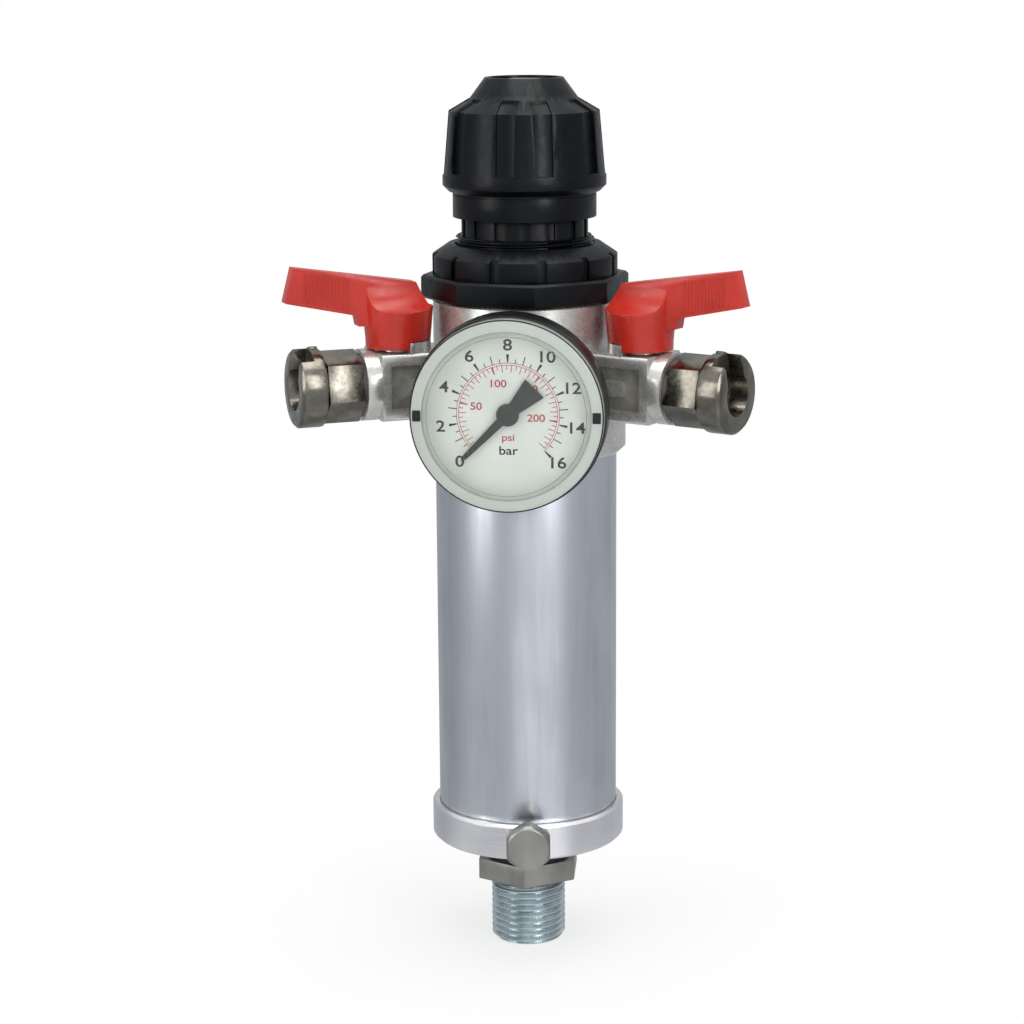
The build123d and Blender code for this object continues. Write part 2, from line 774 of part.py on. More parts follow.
def make_coupling_seal(name, frame):
    with BuildPart() as coupling_seal:
        with BuildSketch(across_arm(frame, arm_mouth_reach)):
            Circle(coupling_hex_flats / 2)
            Circle(chamber_fit + running_gap, mode=Mode.SUBTRACT)
        extrude(amount=coupling_seal_thickness)
    save(coupling_seal, name)


for side, frame in arms.items():
    make_ball(f"{side}_ball", frame)
    make_seat(f"{side}_inner_seat", frame, tap_chamber_reach)
    make_seat(f"{side}_outer_seat", frame, spigot_reach - seat_width)
    make_stem(f"{side}_stem", frame)
    make_stem_seal(f"{side}_stem_seal", frame)
    make_lever(f"{side}_lever", frame)
    make_coupling(f"{side}_coupling", frame, closing[side])
    make_coupling_seal(f"{side}_coupling_seal", frame)


# Bonnet: threaded skirt, octagonal flange, threaded collar, splined neck and a web that carries the spindle
spindle_hole = spindle_radius + running_gap
with BuildPart() as bonnet:
    turned([(0, body_top - bonnet_skirt_length), (bonnet_thread_radius, body_top - bonnet_skirt_length),
            (bonnet_thread_radius, flange_top), (collar_thread_radius, flange_top),
            (collar_thread_radius, thread_top), (neck_radius, thread_top), (neck_radius, spline_top),
            (neck_top_radius, spline_top), (neck_top_radius, neck_top), (0, neck_top)])
    with BuildSketch(Plane.XY.offset(body_top)):
        RegularPolygon(flange_flats / 2, 8, major_radius=False, rotation=flange_turn)
    extrude(amount=flange_height)
    chamfer(bonnet.faces().filter_by(Plane.XY).filter_by_position(Axis.Z, body_top, flange_top)
            .edges().filter_by(GeomType.LINE), flange_chamfer)
    bore(bonnet_skirt_bore_radius, body_top - bonnet_skirt_length,
         body_top - bonnet_skirt_length + bonnet_skirt_bore_depth)
    bore(spring_bore_radius, body_top - bonnet_skirt_length, web_underside)
    bore(spindle_hole, web_underside, neck_top)

    # Two key grooves that keep the spring nut from turning
    with BuildSketch(Plane.XY.offset(body_top)):
        Rectangle(key_groove_radius * 2, key_width)
    extrude(amount=web_underside - body_top, mode=Mode.SUBTRACT)

    # Lock splines, seen below the knob
    with BuildSketch(Plane.XY.offset(thread_top)):
        with PolarLocations(neck_radius, spline_count, start_angle=spline_turn - 90):
            Rectangle(spline_groove_depth * 2, spline_groove_width)
    extrude(amount=neck_spline_height, mode=Mode.SUBTRACT)
save(bonnet, "bonnet")

# Panel nut: round nut with a conical crown and slots for a hook spanner
with BuildPart() as panel_nut:
    turned([(collar_thread_radius + assembly_gap, flange_top), (panel_nut_radius, flange_top),
            (panel_nut_radius, flange_top + panel_nut_side_height), (panel_nut_crown_radius, nut_top),
            (collar_thread_radius + assembly_gap, nut_top)])
    with BuildSketch(Plane.XY.offset(flange_top)):
        with PolarLocations(panel_nut_radius, panel_nut_slots, start_angle=panel_nut_turn - 90):
            Rectangle(panel_nut_slot_depth * 2, panel_nut_slot_width)
    extrude(amount=panel_nut_side_height + panel_nut_cone_height, mode=Mode.SUBTRACT)
save(panel_nut, "panel_nut")

# Knob: moulded core with ribs in pairs round the grip, a skirt below and a recessed mouth on top
window_angles = [(pair * 360 / knob_window_pairs) + turn * knob_window_spread / 2
                 for pair in range(knob_window_pairs) for turn in (-1, 1)]
with BuildPart() as knob:
    turned([(0, knob_base), (knob_skirt_radius, knob_base), (knob_skirt_radius, knob_base + knob_skirt_height),
            (knob_groove_radius, knob_base + knob_skirt_height), (knob_groove_radius, knob_flange_base),
            (knob_flange_radius - knob_flange_chamfer, knob_flange_base),
            (knob_flange_radius, knob_flange_base + knob_flange_chamfer), (knob_flange_radius, knob_grip_base),
            (knob_rib_foot_radius, knob_grip_base), (knob_rib_top_radius, knob_grip_top),
            (knob_cone_foot_radius, knob_shoulder_top), (knob_mouth_radius, knob_top), (0, knob_top)])
    for angle in window_angles:
        direction = radians(angle + knob_turn - 90)
        outward = Plane(origin=(0, 0, 0), x_dir=(cos(direction), sin(direction), 0),
                        z_dir=(sin(direction), -cos(direction), 0))
        with BuildSketch(outward):
            with BuildLine():
                Polyline((knob_core_foot_radius, knob_grip_base + knob_rim_width), (knob_core_top_radius, knob_grip_top),
                         (knob_cone_foot_radius, knob_shoulder_top - knob_rim_width),
                         (knob_cone_foot_radius, knob_shoulder_top + knob_rim_width),
                         (knob_flange_radius, knob_shoulder_top), (knob_flange_radius, knob_grip_base + knob_rim_width),
                         close=True)
            make_face()
        extrude(amount=knob_window_width / 2, both=True, mode=Mode.SUBTRACT)
    bore(knob_mouth_radius - knob_rim_width, knob_floor, knob_top)
    with BuildSketch(Plane.XY.offset(knob_base)):
        Circle(neck_radius + sliding_gap)
    extrude(amount=knob_cavity_height, mode=Mode.SUBTRACT)
    ring(0, knob_hub_radius, neck_top + sliding_gap, knob_base + knob_cavity_height)
    with BuildSketch(Plane.XY.offset(neck_top)):
        RegularPolygon(spindle_hex_flats / 2 + running_gap, 6, major_radius=False)
    extrude(amount=knob_floor - neck_top, mode=Mode.SUBTRACT)
save(knob, "knob")

# Adjusting spindle with its collar, thrust washer, knob screw and the travelling spring nut
spindle_base = spindle_collar_base - spindle_thread_length
with BuildPart() as adjusting_spindle:
    turned([(0, spindle_base), (spindle_radius, spindle_base), (spindle_radius, spindle_collar_base),
            (spindle_collar_radius, spindle_collar_base),
            (spindle_collar_radius, spindle_collar_base + spindle_collar_height),
            (spindle_radius, spindle_collar_base + spindle_collar_height), (spindle_radius, neck_top),
            (0, neck_top)])
    with BuildSketch(Plane.XY.offset(neck_top)):
        RegularPolygon(spindle_hex_flats / 2, 6, major_radius=False)
    extrude(amount=spindle_top - neck_top)
    chamfer(adjusting_spindle.edges().sort_by(Axis.Z)[0], spindle_radius / 5)
    bore(knob_screw_radius, spindle_top - knob_screw_depth, spindle_top)
save(adjusting_spindle, "adjusting_spindle")

with BuildPart() as thrust_washer:
    ring(spindle_hole, thrust_washer_radius, spindle_collar_base + spindle_collar_height, web_underside)
save(thrust_washer, "thrust_washer")

with BuildPart() as knob_screw:
    turned([(0, spindle_top - knob_screw_depth), (knob_screw_radius, spindle_top - knob_screw_depth),
            (knob_screw_radius, spindle_top), (knob_screw_head_radius, spindle_top),
            (knob_screw_head_radius, spindle_top + knob_screw_head_height / 2),
            (knob_screw_head_radius - knob_screw_head_height / 2, spindle_top + knob_screw_head_height),
            (0, spindle_top + knob_screw_head_height)])
    with BuildSketch(Plane.XY.offset(spindle_top + knob_screw_head_height / 3)):
        Rectangle(knob_screw_head_radius * 2, knob_screw_head_height / 2)
    extrude(amount=knob_screw_head_height, mode=Mode.SUBTRACT)
save(knob_screw, "knob_screw")

with BuildPart() as spring_nut:
    ring(spindle_hole, spring_bore_radius - sliding_gap, spring_nut_base, spring_nut_top)
    with BuildSketch(Plane.XY.offset(spring_nut_base)):
        Rectangle(2 * (key_groove_radius - sliding_gap), key_width - 2 * sliding_gap)
        Circle(spindle_hole, mode=Mode.SUBTRACT)
    extrude(amount=spring_nut_height)
save(spring_nut, "spring_nut")


def make_spring(name, mean_radius, wire_radius, turns, low, high):
    """A compression spring between two levels, its wire touching both."""
    start = low + wire_radius
    rise = high - low - 2 * wire_radius
    with BuildPart() as spring:
        with BuildLine():
            coil = Helix(pitch=rise / turns, height=rise, radius=mean_radius, center=(0, 0, start))
        with BuildSketch(Plane(origin=coil @ 0, z_dir=coil % 0)):
            RegularPolygon(wire_radius, 6)
        sweep()
    save(spring, name)


make_spring("regulating_spring", spring_mean_radius, spring_wire_radius, spring_turns, plate_top, spring_nut_base)

# Diaphragm, its slip ring, and the plate that the spring bears on
slip_ring_top = body_ledge + diaphragm_thickness + slip_ring_thickness
rim_radius = bonnet_thread_radius - assembly_gap
with BuildPart() as diaphragm:
    turned([(0, diaphragm_top - diaphragm_thickness), (plate_radius, diaphragm_top - diaphragm_thickness),
            (bonnet_skirt_bore_radius + diaphragm_rise, body_ledge), (rim_radius, body_ledge),
            (rim_radius, body_ledge + diaphragm_thickness),
            (bonnet_skirt_bore_radius + diaphragm_rise / 2, body_ledge + diaphragm_thickness),
            (plate_radius, diaphragm_top), (0, diaphragm_top)])
save(diaphragm, "diaphragm")

with BuildPart() as slip_ring:
    ring(bonnet_skirt_bore_radius + diaphragm_rise / 2 + sliding_gap, rim_radius,
         body_ledge + diaphragm_thickness, slip_ring_top)
save(slip_ring, "slip_ring")

with BuildPart() as diaphragm_plate:
    turned([(0, diaphragm_top), (plate_radius - assembly_gap, diaphragm_top), (plate_radius - assembly_gap, plate_top),
            (plate_spigot_radius, plate_top), (plate_spigot_radius - plate_spigot_height / 4, plate_top
             + plate_spigot_height), (0, plate_top + plate_spigot_height)])
save(diaphragm_plate, "diaphragm_plate")

# Valve seat in the top of the boss, poppet below it with its return spring
with BuildPart() as valve_seat:
    turned([(seat_orifice_radius, valve_face), (tie_tube_radius, valve_face), (tie_tube_radius, boss_top),
            (seat_flange_radius, boss_top), (seat_flange_radius, boss_top + seat_flange_height),
            (seat_orifice_radius, boss_top + seat_flange_height)])
save(valve_seat, "valve_seat")

poppet_base = valve_face - poppet_head_height
with BuildPart() as poppet:
    turned([(0, poppet_base), (poppet_head_radius, poppet_base), (poppet_head_radius, valve_face),
            (poppet_stem_radius, valve_face), (poppet_stem_radius, diaphragm_top - diaphragm_thickness),
            (0, diaphragm_top - diaphragm_thickness)])
save(poppet, "poppet")

make_spring("poppet_spring", (tie_bore + tie_tube_radius) / 2, poppet_spring_wire_radius, poppet_spring_turns,
            tie_top, poppet_base)


# Gauge: x to the right, y up, z out towards the viewer, origin on the body's axis
gauge_back = gauge_face.offset(gauge_back_reach)
case_front = gauge_case_depth
dial_level = case_front - dial_setback - dial_thickness
back_plate_level = gauge_case_wall + socket_thickness
front_plate_level = back_plate_level + plate_gauge + plate_gap
gear_level = back_plate_level + plate_gauge + (plate_gap - gear_thickness) / 2
pinion_radius = gear_module * pinion_teeth / 2
sector_radius = gear_module * sector_full_teeth / 2
sector_pivot = (0, -(pinion_radius + sector_radius))
arbor_hole = arbor_radius + running_gap


def gauge_level(rise):
    """A plane square to the gauge's axis at a height above the outside of its back."""
    return gauge_back.offset(rise)


def gauge_ring(inner, outer, low, high):
    """A ring about the gauge's axis between two levels."""
    with BuildSketch(gauge_level(low)) as section:
        Circle(outer)
        if inner > 0:
            Circle(inner, mode=Mode.SUBTRACT)
    extrude(section.sketch, amount=high - low)


# Socket: threaded stem through the case's back, with a block inside that the movement stands on
stem_shoulder = gauge_boss_reach + gauge_seal_thickness - gauge_back_reach
stem_end = stem_shoulder - gauge_seal_thickness - gauge_thread_length
with BuildPart() as gauge_socket:
    gauge_ring(0, gauge_thread_radius, stem_end, stem_shoulder)
    with BuildSketch(gauge_level(stem_shoulder)):
        RegularPolygon(gauge_stem_flats / 2, 6, major_radius=False, rotation=30)
    extrude(amount=-stem_shoulder)
    gauge_ring(0, gauge_thread_radius, 0, gauge_case_wall)
    with BuildSketch(gauge_level(gauge_case_wall)):
        with Locations((0, (gauge_thread_radius - socket_drop) / 2)):
            Rectangle(socket_width, socket_drop + gauge_thread_radius)
    extrude(amount=socket_thickness)
save(gauge_socket, "gauge_socket")

with BuildPart() as gauge_seal:
    gauge_ring(gauge_thread_radius + running_gap, gauge_stem_flats / 2, stem_shoulder - gauge_seal_thickness,
               stem_shoulder)
save(gauge_seal, "gauge_seal")

# Case: pressed cup with a hole for the socket
with BuildPart() as gauge_case:
    gauge_ring(0, gauge_case_radius, 0, case_front)
    fillet(gauge_case.faces().sort_by(Axis.Y)[-1].edges(), gauge_case_wall)
    with BuildSketch(gauge_level(gauge_case_wall)):
        Circle(gauge_case_radius - gauge_case_wall)
    extrude(amount=case_front, mode=Mode.SUBTRACT)
    with BuildSketch(gauge_level(0)):
        Circle(gauge_thread_radius)
    extrude(amount=gauge_case_wall, mode=Mode.SUBTRACT)
save(gauge_case, "gauge_case")

# Lens: clear cup that snaps over the front, slightly domed
lens_front = case_front + lens_rim_depth
with BuildPart() as gauge_lens:
    with BuildSketch(Plane(origin=gauge_back.origin, x_dir=(1, 0, 0), z_dir=(0, 0, -1))):
        with BuildLine():
            Polyline((0, lens_front - lens_wall), (lens_radius - lens_wall, lens_front - lens_wall),
                     (lens_radius - lens_wall, case_front), (lens_radius, case_front),
                     (lens_radius, lens_front - lens_wall / 2), (lens_radius - lens_wall / 2, lens_front),
                     (lens_radius - 2 * lens_wall, lens_front))
            TangentArc((0, lens_front + lens_dome_rise), (lens_radius - 2 * lens_wall, lens_front), tangent=(1, 0))
            Line((0, lens_front + lens_dome_rise), (0, lens_front - lens_wall))
        make_face()
    revolve(axis=Axis(gauge_back.origin, gauge_back.z_dir))
save(gauge_lens, "gauge_lens")

# Movement plates held apart by pillars that also carry the dial
with BuildPart() as movement_plates:
    for plate_level in (back_plate_level, front_plate_level):
        with BuildSketch(gauge_level(plate_level)):
            with Locations((0, sector_pivot[1] / 2)):
                RectangleRounded(plate_width, plate_length, 2 * pillar_radius)
            with Locations((0, 0), sector_pivot):
                Circle(arbor_hole, mode=Mode.SUBTRACT)
        extrude(amount=plate_gauge)
    pillar_span = plate_length - 4 * pillar_radius
    with BuildSketch(gauge_level(back_plate_level)):
        with Locations((0, sector_pivot[1] / 2)):
            with Locations((pillar_radius * 2 - plate_width / 2, -pillar_span / 2),
                           (pillar_radius * 2 - plate_width / 2, pillar_span / 2),
                           (plate_width / 2 - pillar_radius * 2, pillar_span / 2)):
                Circle(pillar_radius)
    extrude(amount=dial_level - back_plate_level)
save(movement_plates, "movement_plates")

# Dial: flat printed plate on the pillars
with BuildPart() as gauge_dial:
    gauge_ring(arbor_radius * 2, dial_radius, dial_level, dial_level + dial_thickness)
save(gauge_dial, "gauge_dial")

# Bourdon tube: flat tube bent round the movement from the foot of the socket
with BuildPart() as bourdon_tube:
    with BuildSketch(gauge_level(back_plate_level)):
        sector(bourdon_radius - bourdon_width / 2, bourdon_radius + bourdon_width / 2,
               bourdon_foot_angle - bourdon_arc, bourdon_foot_angle)
    extrude(amount=bourdon_depth)
save(bourdon_tube, "bourdon_tube")


def gear_outline(teeth_total, first, used, pitch_radius, root_radius, tip_radius, phase):
    """Points round a toothed rim: each tooth a narrow wedge with a flat tip, gaps at the root radius."""
    pitch_angle = 360 / teeth_total
    points = []
    for tooth in range(first, first + used):
        centre_angle = phase + tooth * pitch_angle
        for side, radius, spread in ((-1, root_radius, tooth_foot_spread), (-1, tip_radius, 1),
                                     (1, tip_radius, 1), (1, root_radius, tooth_foot_spread)):
            angle = radians(centre_angle + side * spread * tooth_share * pitch_angle / 4)
            points.append((radius * cos(angle), radius * sin(angle)))
    return points


tooth_rise = gear_module * tooth_height_share
tooth_fall = gear_module * tooth_depth_share

# Pointer with its arbor and pinion, pressed together; a gap of the pinion faces the sector at rest
pointer_level = dial_level + dial_thickness + pointer_thickness
with BuildPart() as pinion_arbor:
    gauge_ring(0, arbor_radius, back_plate_level, pointer_level)
    with BuildSketch(gauge_level(gear_level)):
        Polygon(*gear_outline(pinion_teeth, 0, pinion_teeth, pinion_radius, pinion_radius - tooth_fall,
                              pinion_radius + tooth_rise, 270 + 180 / pinion_teeth), align=None)
    extrude(amount=gear_thickness)
save(pinion_arbor, "pinion_arbor")

with BuildPart() as gauge_pointer:
    with BuildSketch(gauge_level(pointer_level)):
        Circle(pointer_hub_radius)
        with Locations(Rotation(0, 0, pointer_rest_angle)):
            Polygon((0, pointer_width), (pointer_length - pointer_width, pointer_width / 2), (pointer_length, 0),
                    (pointer_length - pointer_width, -pointer_width / 2), (0, -pointer_width), align=None)
            Polygon((0, pointer_width), (-pointer_tail, pointer_tail_width), (-pointer_tail, -pointer_tail_width),
                    (0, -pointer_width), align=None)
    extrude(amount=pointer_thickness)
save(gauge_pointer, "gauge_pointer")

# Toothed sector on its own arbor, with a tail that the link pulls
with BuildPart() as sector_gear:
    with BuildSketch(gauge_level(gear_level)):
        with Locations(sector_pivot):
            rim = gear_outline(sector_full_teeth, 1 - sector_used_teeth, sector_used_teeth + 1, sector_radius,
                               sector_radius - tooth_fall, sector_radius + tooth_rise, 90)
            Polygon(*rim, (-arbor_radius, arbor_radius * 2), (arbor_radius * 2, 0), align=None)
            Circle(arbor_radius * 2.5)
            with Locations((0, -sector_tail / 2)):
                Rectangle(arbor_radius * 3, sector_tail)
            with Locations((0, -sector_tail)):
                Circle(arbor_radius * 2)
                Circle(arbor_hole, mode=Mode.SUBTRACT)
    extrude(amount=gear_thickness)
    with BuildSketch(gauge_level(back_plate_level)):
        with Locations(sector_pivot):
            Circle(arbor_radius)
    extrude(amount=front_plate_level + plate_gauge - back_plate_level)
save(sector_gear, "sector_gear")

# Link: pinned to the sector's tail, its other end free of the tube so that the chain of pivots stays open
tail_pin = (0, sector_pivot[1] - sector_tail)
link_length = hypot(link_reach - tail_pin[0], link_rise - tail_pin[1])
link_angle = degrees(atan2(link_rise - tail_pin[1], link_reach - tail_pin[0]))
link_level = back_plate_level + plate_gauge + assembly_gap
with BuildPart() as gauge_link:
    with BuildSketch(gauge_level(link_level)):
        with Locations(Location((tail_pin[0], tail_pin[1], 0), (0, 0, link_angle))):
            with Locations((link_length / 2, 0)):
                SlotCenterToCenter(link_length, link_end_radius * 2)
    extrude(amount=link_thickness)
    with BuildSketch(gauge_level(link_level)):
        with Locations(tail_pin):
            Circle(arbor_radius)
    extrude(amount=gear_level + gear_thickness - link_level)
save(gauge_link, "gauge_link")
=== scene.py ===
import math

import bpy
from mathutils import Matrix, Vector


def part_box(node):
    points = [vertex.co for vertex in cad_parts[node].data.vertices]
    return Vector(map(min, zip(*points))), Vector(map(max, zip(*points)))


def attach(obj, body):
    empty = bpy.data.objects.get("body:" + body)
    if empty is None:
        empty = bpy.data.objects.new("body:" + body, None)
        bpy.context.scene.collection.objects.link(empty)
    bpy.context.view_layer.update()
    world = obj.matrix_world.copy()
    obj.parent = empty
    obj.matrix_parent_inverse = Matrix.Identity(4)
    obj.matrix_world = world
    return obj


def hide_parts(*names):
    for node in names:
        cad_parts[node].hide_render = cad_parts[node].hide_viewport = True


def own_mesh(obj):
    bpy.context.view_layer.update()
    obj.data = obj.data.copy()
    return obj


# A compressed-air filter regulator, standing on the end of its inlet thread.
# Metres, +Z up, gauge facing -Y, the two taps to the left (-X) and the right (+X).
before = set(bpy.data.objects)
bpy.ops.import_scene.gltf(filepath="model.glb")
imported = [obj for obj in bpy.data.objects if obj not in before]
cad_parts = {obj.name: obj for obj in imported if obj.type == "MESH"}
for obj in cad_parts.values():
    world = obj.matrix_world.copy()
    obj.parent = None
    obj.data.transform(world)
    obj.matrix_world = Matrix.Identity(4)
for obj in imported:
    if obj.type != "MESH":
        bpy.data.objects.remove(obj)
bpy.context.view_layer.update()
MM = 0.001
bpy.ops.object.select_all(action="DESELECT")


# The camera looks slightly down at the gauge from a little to its right, as in the photograph.
# The lens and the distance give the same perspective on an image of 1024 x 1024.
VIEW_TURN = math.radians(6.5)
VIEW_PITCH = math.radians(12.5)
VIEW_SWING = math.radians(0.325)
VIEW_ROLL = math.radians(-0.40)
VIEW_DISTANCE = 706 * MM
VIEW_HEIGHT = 280.6 * MM
LENS = 91.4

bpy.ops.object.camera_add(location=(VIEW_DISTANCE * math.sin(VIEW_TURN), -VIEW_DISTANCE * math.cos(VIEW_TURN),
                                    VIEW_HEIGHT))
camera = bpy.context.object
level = Matrix.Rotation(VIEW_TURN + VIEW_SWING, 4, "Z") @ Matrix.Rotation(math.pi / 2 - VIEW_PITCH, 4, "X")
camera.rotation_euler = (level @ Matrix.Rotation(VIEW_ROLL, 4, "Z")).to_euler()
camera.data.lens = LENS
camera.data.sensor_width = 36
camera.data.clip_start = 0.01
bpy.context.scene.camera = camera
bpy.context.scene.view_settings.view_transform = "Standard"


# Studio: a white room with three soft lamps. Metal and plastic mirror a calmer room than the eye sees:
# grey walls, a bright window round the camera and to its right, and a bright ceiling.
def colour(code):
    """An sRGB hex colour as the linear colour that a shader takes."""
    channels = [int(code[place:place + 2], 16) / 255 for place in (1, 3, 5)]
    return [c / 12.92 if c <= 0.04045 else ((c + 0.055) / 1.055) ** 2.4 for c in channels] + [1]


def add_node(tree, kind, settings=(), values=(), links=()):
    """Add one node: settings are its own options, values its input sockets, links the sockets that feed it."""
    node = tree.nodes.new(kind)
    for name, value in dict(settings).items():
        setattr(node, name, value)
    for name, value in dict(values).items():
        node.inputs[name].default_value = value
    for name, source in dict(links).items():
        tree.links.new(source, node.inputs[name])
    return node


def set_ramp(node, stops):
    """Give a Color Ramp its stops, each a place and a linear colour."""
    ramp = node.color_ramp
    while len(ramp.elements) > 1:
        ramp.elements.remove(ramp.elements[-1])
    ramp.elements[0].position, ramp.elements[0].color = stops[0]
    for place, shade in stops[1:]:
        ramp.elements.new(place).color = shade


ROOM_LIGHT = 0.62
ROOM_GREY = colour("#B8BCC1")
WINDOW = colour("#ECEFF5")
WALLS = [(0.0, WINDOW), (0.03, WINDOW), (0.06, ROOM_GREY), (0.20, colour("#C0C4C8")), (0.30, colour("#9EA2A8")),
         (0.50, colour("#B9BCC0")), (0.70, colour("#B0B4B9")), (0.86, ROOM_GREY), (0.90, WINDOW)]
world = bpy.data.worlds.new("studio")
bpy.context.scene.world = world
world.use_nodes = True
tree = world.node_tree
tree.nodes.clear()
rays = add_node(tree, "ShaderNodeLightPath")
direction = add_node(tree, "ShaderNodeTexCoord")
turned_room = add_node(tree, "ShaderNodeMapping", {"vector_type": "VECTOR"},
                       {"Rotation": (0, 0, -VIEW_TURN)}, {"Vector": direction.outputs["Generated"]})
sides = add_node(tree, "ShaderNodeSeparateXYZ", links={"Vector": turned_room.outputs["Vector"]})
around = add_node(tree, "ShaderNodeMath", {"operation": "ARCTAN2"},
                  links={0: sides.outputs["X"], 1: sides.outputs["Y"]})
turn_share = add_node(tree, "ShaderNodeMapRange", values={"From Min": -math.pi, "From Max": math.pi},
                      links={"Value": around.outputs[0]})
walls = add_node(tree, "ShaderNodeValToRGB", links={"Fac": turn_share.outputs["Result"]})
set_ramp(walls, WALLS)
upward = add_node(tree, "ShaderNodeMapRange", values={"From Min": 0.45, "From Max": 0.75},
                  links={"Value": sides.outputs["Z"]})
room = add_node(tree, "ShaderNodeMix", {"data_type": "RGBA"}, {"B": (1, 1, 1, 1)},
                {"Factor": upward.outputs["Result"], "A": walls.outputs["Color"]})
mirrored = add_node(tree, "ShaderNodeMix", {"data_type": "RGBA"}, {"A": (1, 1, 1, 1)},
                    {"Factor": rays.outputs["Is Glossy Ray"], "B": room.outputs["Result"]})
seen = add_node(tree, "ShaderNodeMath", {"operation": "MAXIMUM"},
                links={0: rays.outputs["Is Camera Ray"], 1: rays.outputs["Is Glossy Ray"]})
seen_through = add_node(tree, "ShaderNodeMath", {"operation": "MAXIMUM"},
                        links={0: seen.outputs[0], 1: rays.outputs["Is Transmission Ray"]})
strength = add_node(tree, "ShaderNodeMapRange", values={"To Min": ROOM_LIGHT, "To Max": 1.0},
                    links={"Value": seen_through.outputs[0]})
background = add_node(tree, "ShaderNodeBackground",
                      links={"Color": mirrored.outputs["Result"], "Strength": strength.outputs["Result"]})
add_node(tree, "ShaderNodeOutputWorld", links={"Surface": background.outputs[0]})

LAMPS = {"key": ((0.75, -0.95, 0.75), (0.35, 0.9), 5.0), "fill": ((-1.0, -0.8, 0.55), (0.5, 0.9), 4.0),
         "top": ((0.05, -0.1, 1.25), (0.9, 0.7), 6.0)}
for lamp_name, (place, size, power) in LAMPS.items():
    bpy.ops.object.light_add(type="AREA", location=place)
    lamp = bpy.context.object
    lamp.name = f"{lamp_name}_lamp"
    lamp.data.shape = "RECTANGLE"
    lamp.data.size, lamp.data.size_y = size
    lamp.data.energy = power
    lamp.rotation_euler = (Vector((0, 0, 0.13)) - Vector(place)).to_track_quat("-Z", "Y").to_euler()

# The floor takes a shadow close to the object and runs out into the white of the room. Polished metal
# mirrors it as it mirrors the walls: grey, with the window's light lying on it in front.
SHADOW_NEAR = 25 * MM
SHADOW_FAR = 120 * MM
bpy.ops.mesh.primitive_plane_add(size=16)
floor = bpy.context.object
floor.name = "floor"
floor_paint = bpy.data.materials.new("white_floor_paint")
floor_paint.use_nodes = True
tree = floor_paint.node_tree
paint = tree.nodes["Principled BSDF"]
paint.inputs["Base Color"].default_value = colour("#F4F4F4")
paint.inputs["Roughness"].default_value = 0.9
rays = add_node(tree, "ShaderNodeLightPath")
place = add_node(tree, "ShaderNodeTexCoord")
reach = add_node(tree, "ShaderNodeVectorMath", {"operation": "LENGTH"}, links={0: place.outputs["Object"]})
fade = add_node(tree, "ShaderNodeMapRange", {"interpolation_type": "SMOOTHSTEP"},
                {"From Min": SHADOW_NEAR, "From Max": SHADOW_FAR, "To Min": 0.70},
                {"Value": reach.outputs["Value"]})
turned_floor = add_node(tree, "ShaderNodeMapping", {"vector_type": "VECTOR"}, {"Rotation": (0, 0, -VIEW_TURN)},
                        {"Vector": place.outputs["Object"]})
sides = add_node(tree, "ShaderNodeSeparateXYZ", links={"Vector": turned_floor.outputs["Vector"]})
around = add_node(tree, "ShaderNodeMath", {"operation": "ARCTAN2"},
                  links={0: sides.outputs["X"], 1: sides.outputs["Y"]})
turn_share = add_node(tree, "ShaderNodeMapRange", values={"From Min": -math.pi, "From Max": math.pi},
                      links={"Value": around.outputs[0]})
window_light = add_node(tree, "ShaderNodeValToRGB", links={"Fac": turn_share.outputs["Result"]})
set_ramp(window_light, WALLS)
glow_colour = add_node(tree, "ShaderNodeMix", {"data_type": "RGBA"}, {"A": (1, 1, 1, 1)},
                       {"Factor": rays.outputs["Is Glossy Ray"], "B": window_light.outputs["Color"]})
straight = add_node(tree, "ShaderNodeMath", {"operation": "MAXIMUM"},
                    links={0: rays.outputs["Is Camera Ray"], 1: rays.outputs["Is Glossy Ray"]})
whitened = add_node(tree, "ShaderNodeMath", {"operation": "MULTIPLY"},
                    links={0: fade.outputs["Result"], 1: straight.outputs[0]})
glow = add_node(tree, "ShaderNodeEmission", links={"Color": glow_colour.outputs["Result"]})
both = add_node(tree, "ShaderNodeMixShader", links={"Fac": whitened.outputs[0]})
tree.links.new(paint.outputs["BSDF"], both.inputs[1])
tree.links.new(glow.outputs[0], both.inputs[2])
tree.links.new(both.outputs[0], tree.nodes["Material Output"].inputs["Surface"])
floor.data.materials.append(floor_paint)


# Inlet nipple: the piece that the supply pipe screws onto, turned from hexagon bar in steel, with a
# pipe thread of 14 turns to the inch. Its upper end screws onto the tie tube inside the cap.
def deselect():
    """Leave edit mode and select nothing."""
    if bpy.context.object and bpy.context.object.mode == "EDIT":
        bpy.ops.object.mode_set(mode="OBJECT")
    bpy.ops.object.select_all(action="DESELECT")


def hold(piece):
    """Select one piece alone and make it the one that operators act on."""
    deselect()
    piece.select_set(True)
    bpy.context.view_layer.objects.active = piece


def cad_copy(node, bevel=0.0, limit=32, segments=2):
    """A merged copy of a CAD node's mesh, its sharp edges rounded by a real radius."""
    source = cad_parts[node]
    piece = bpy.data.objects.new(f"{node}_shown", source.data.copy())
    bpy.context.scene.collection.objects.link(piece)
    piece.data.materials.clear()
    hold(piece)
    bpy.ops.object.mode_set(mode="EDIT")
    bpy.ops.mesh.select_all(action="SELECT")
    bpy.ops.mesh.remove_doubles(threshold=0.002 * MM)
    bpy.ops.mesh.dissolve_limited(angle_limit=math.radians(0.5))
    bpy.ops.object.mode_set(mode="OBJECT")
    if bevel:
        round_edges(piece, bevel, limit, segments)
    bpy.ops.object.shade_smooth_by_angle(angle=math.radians(limit))
    return piece


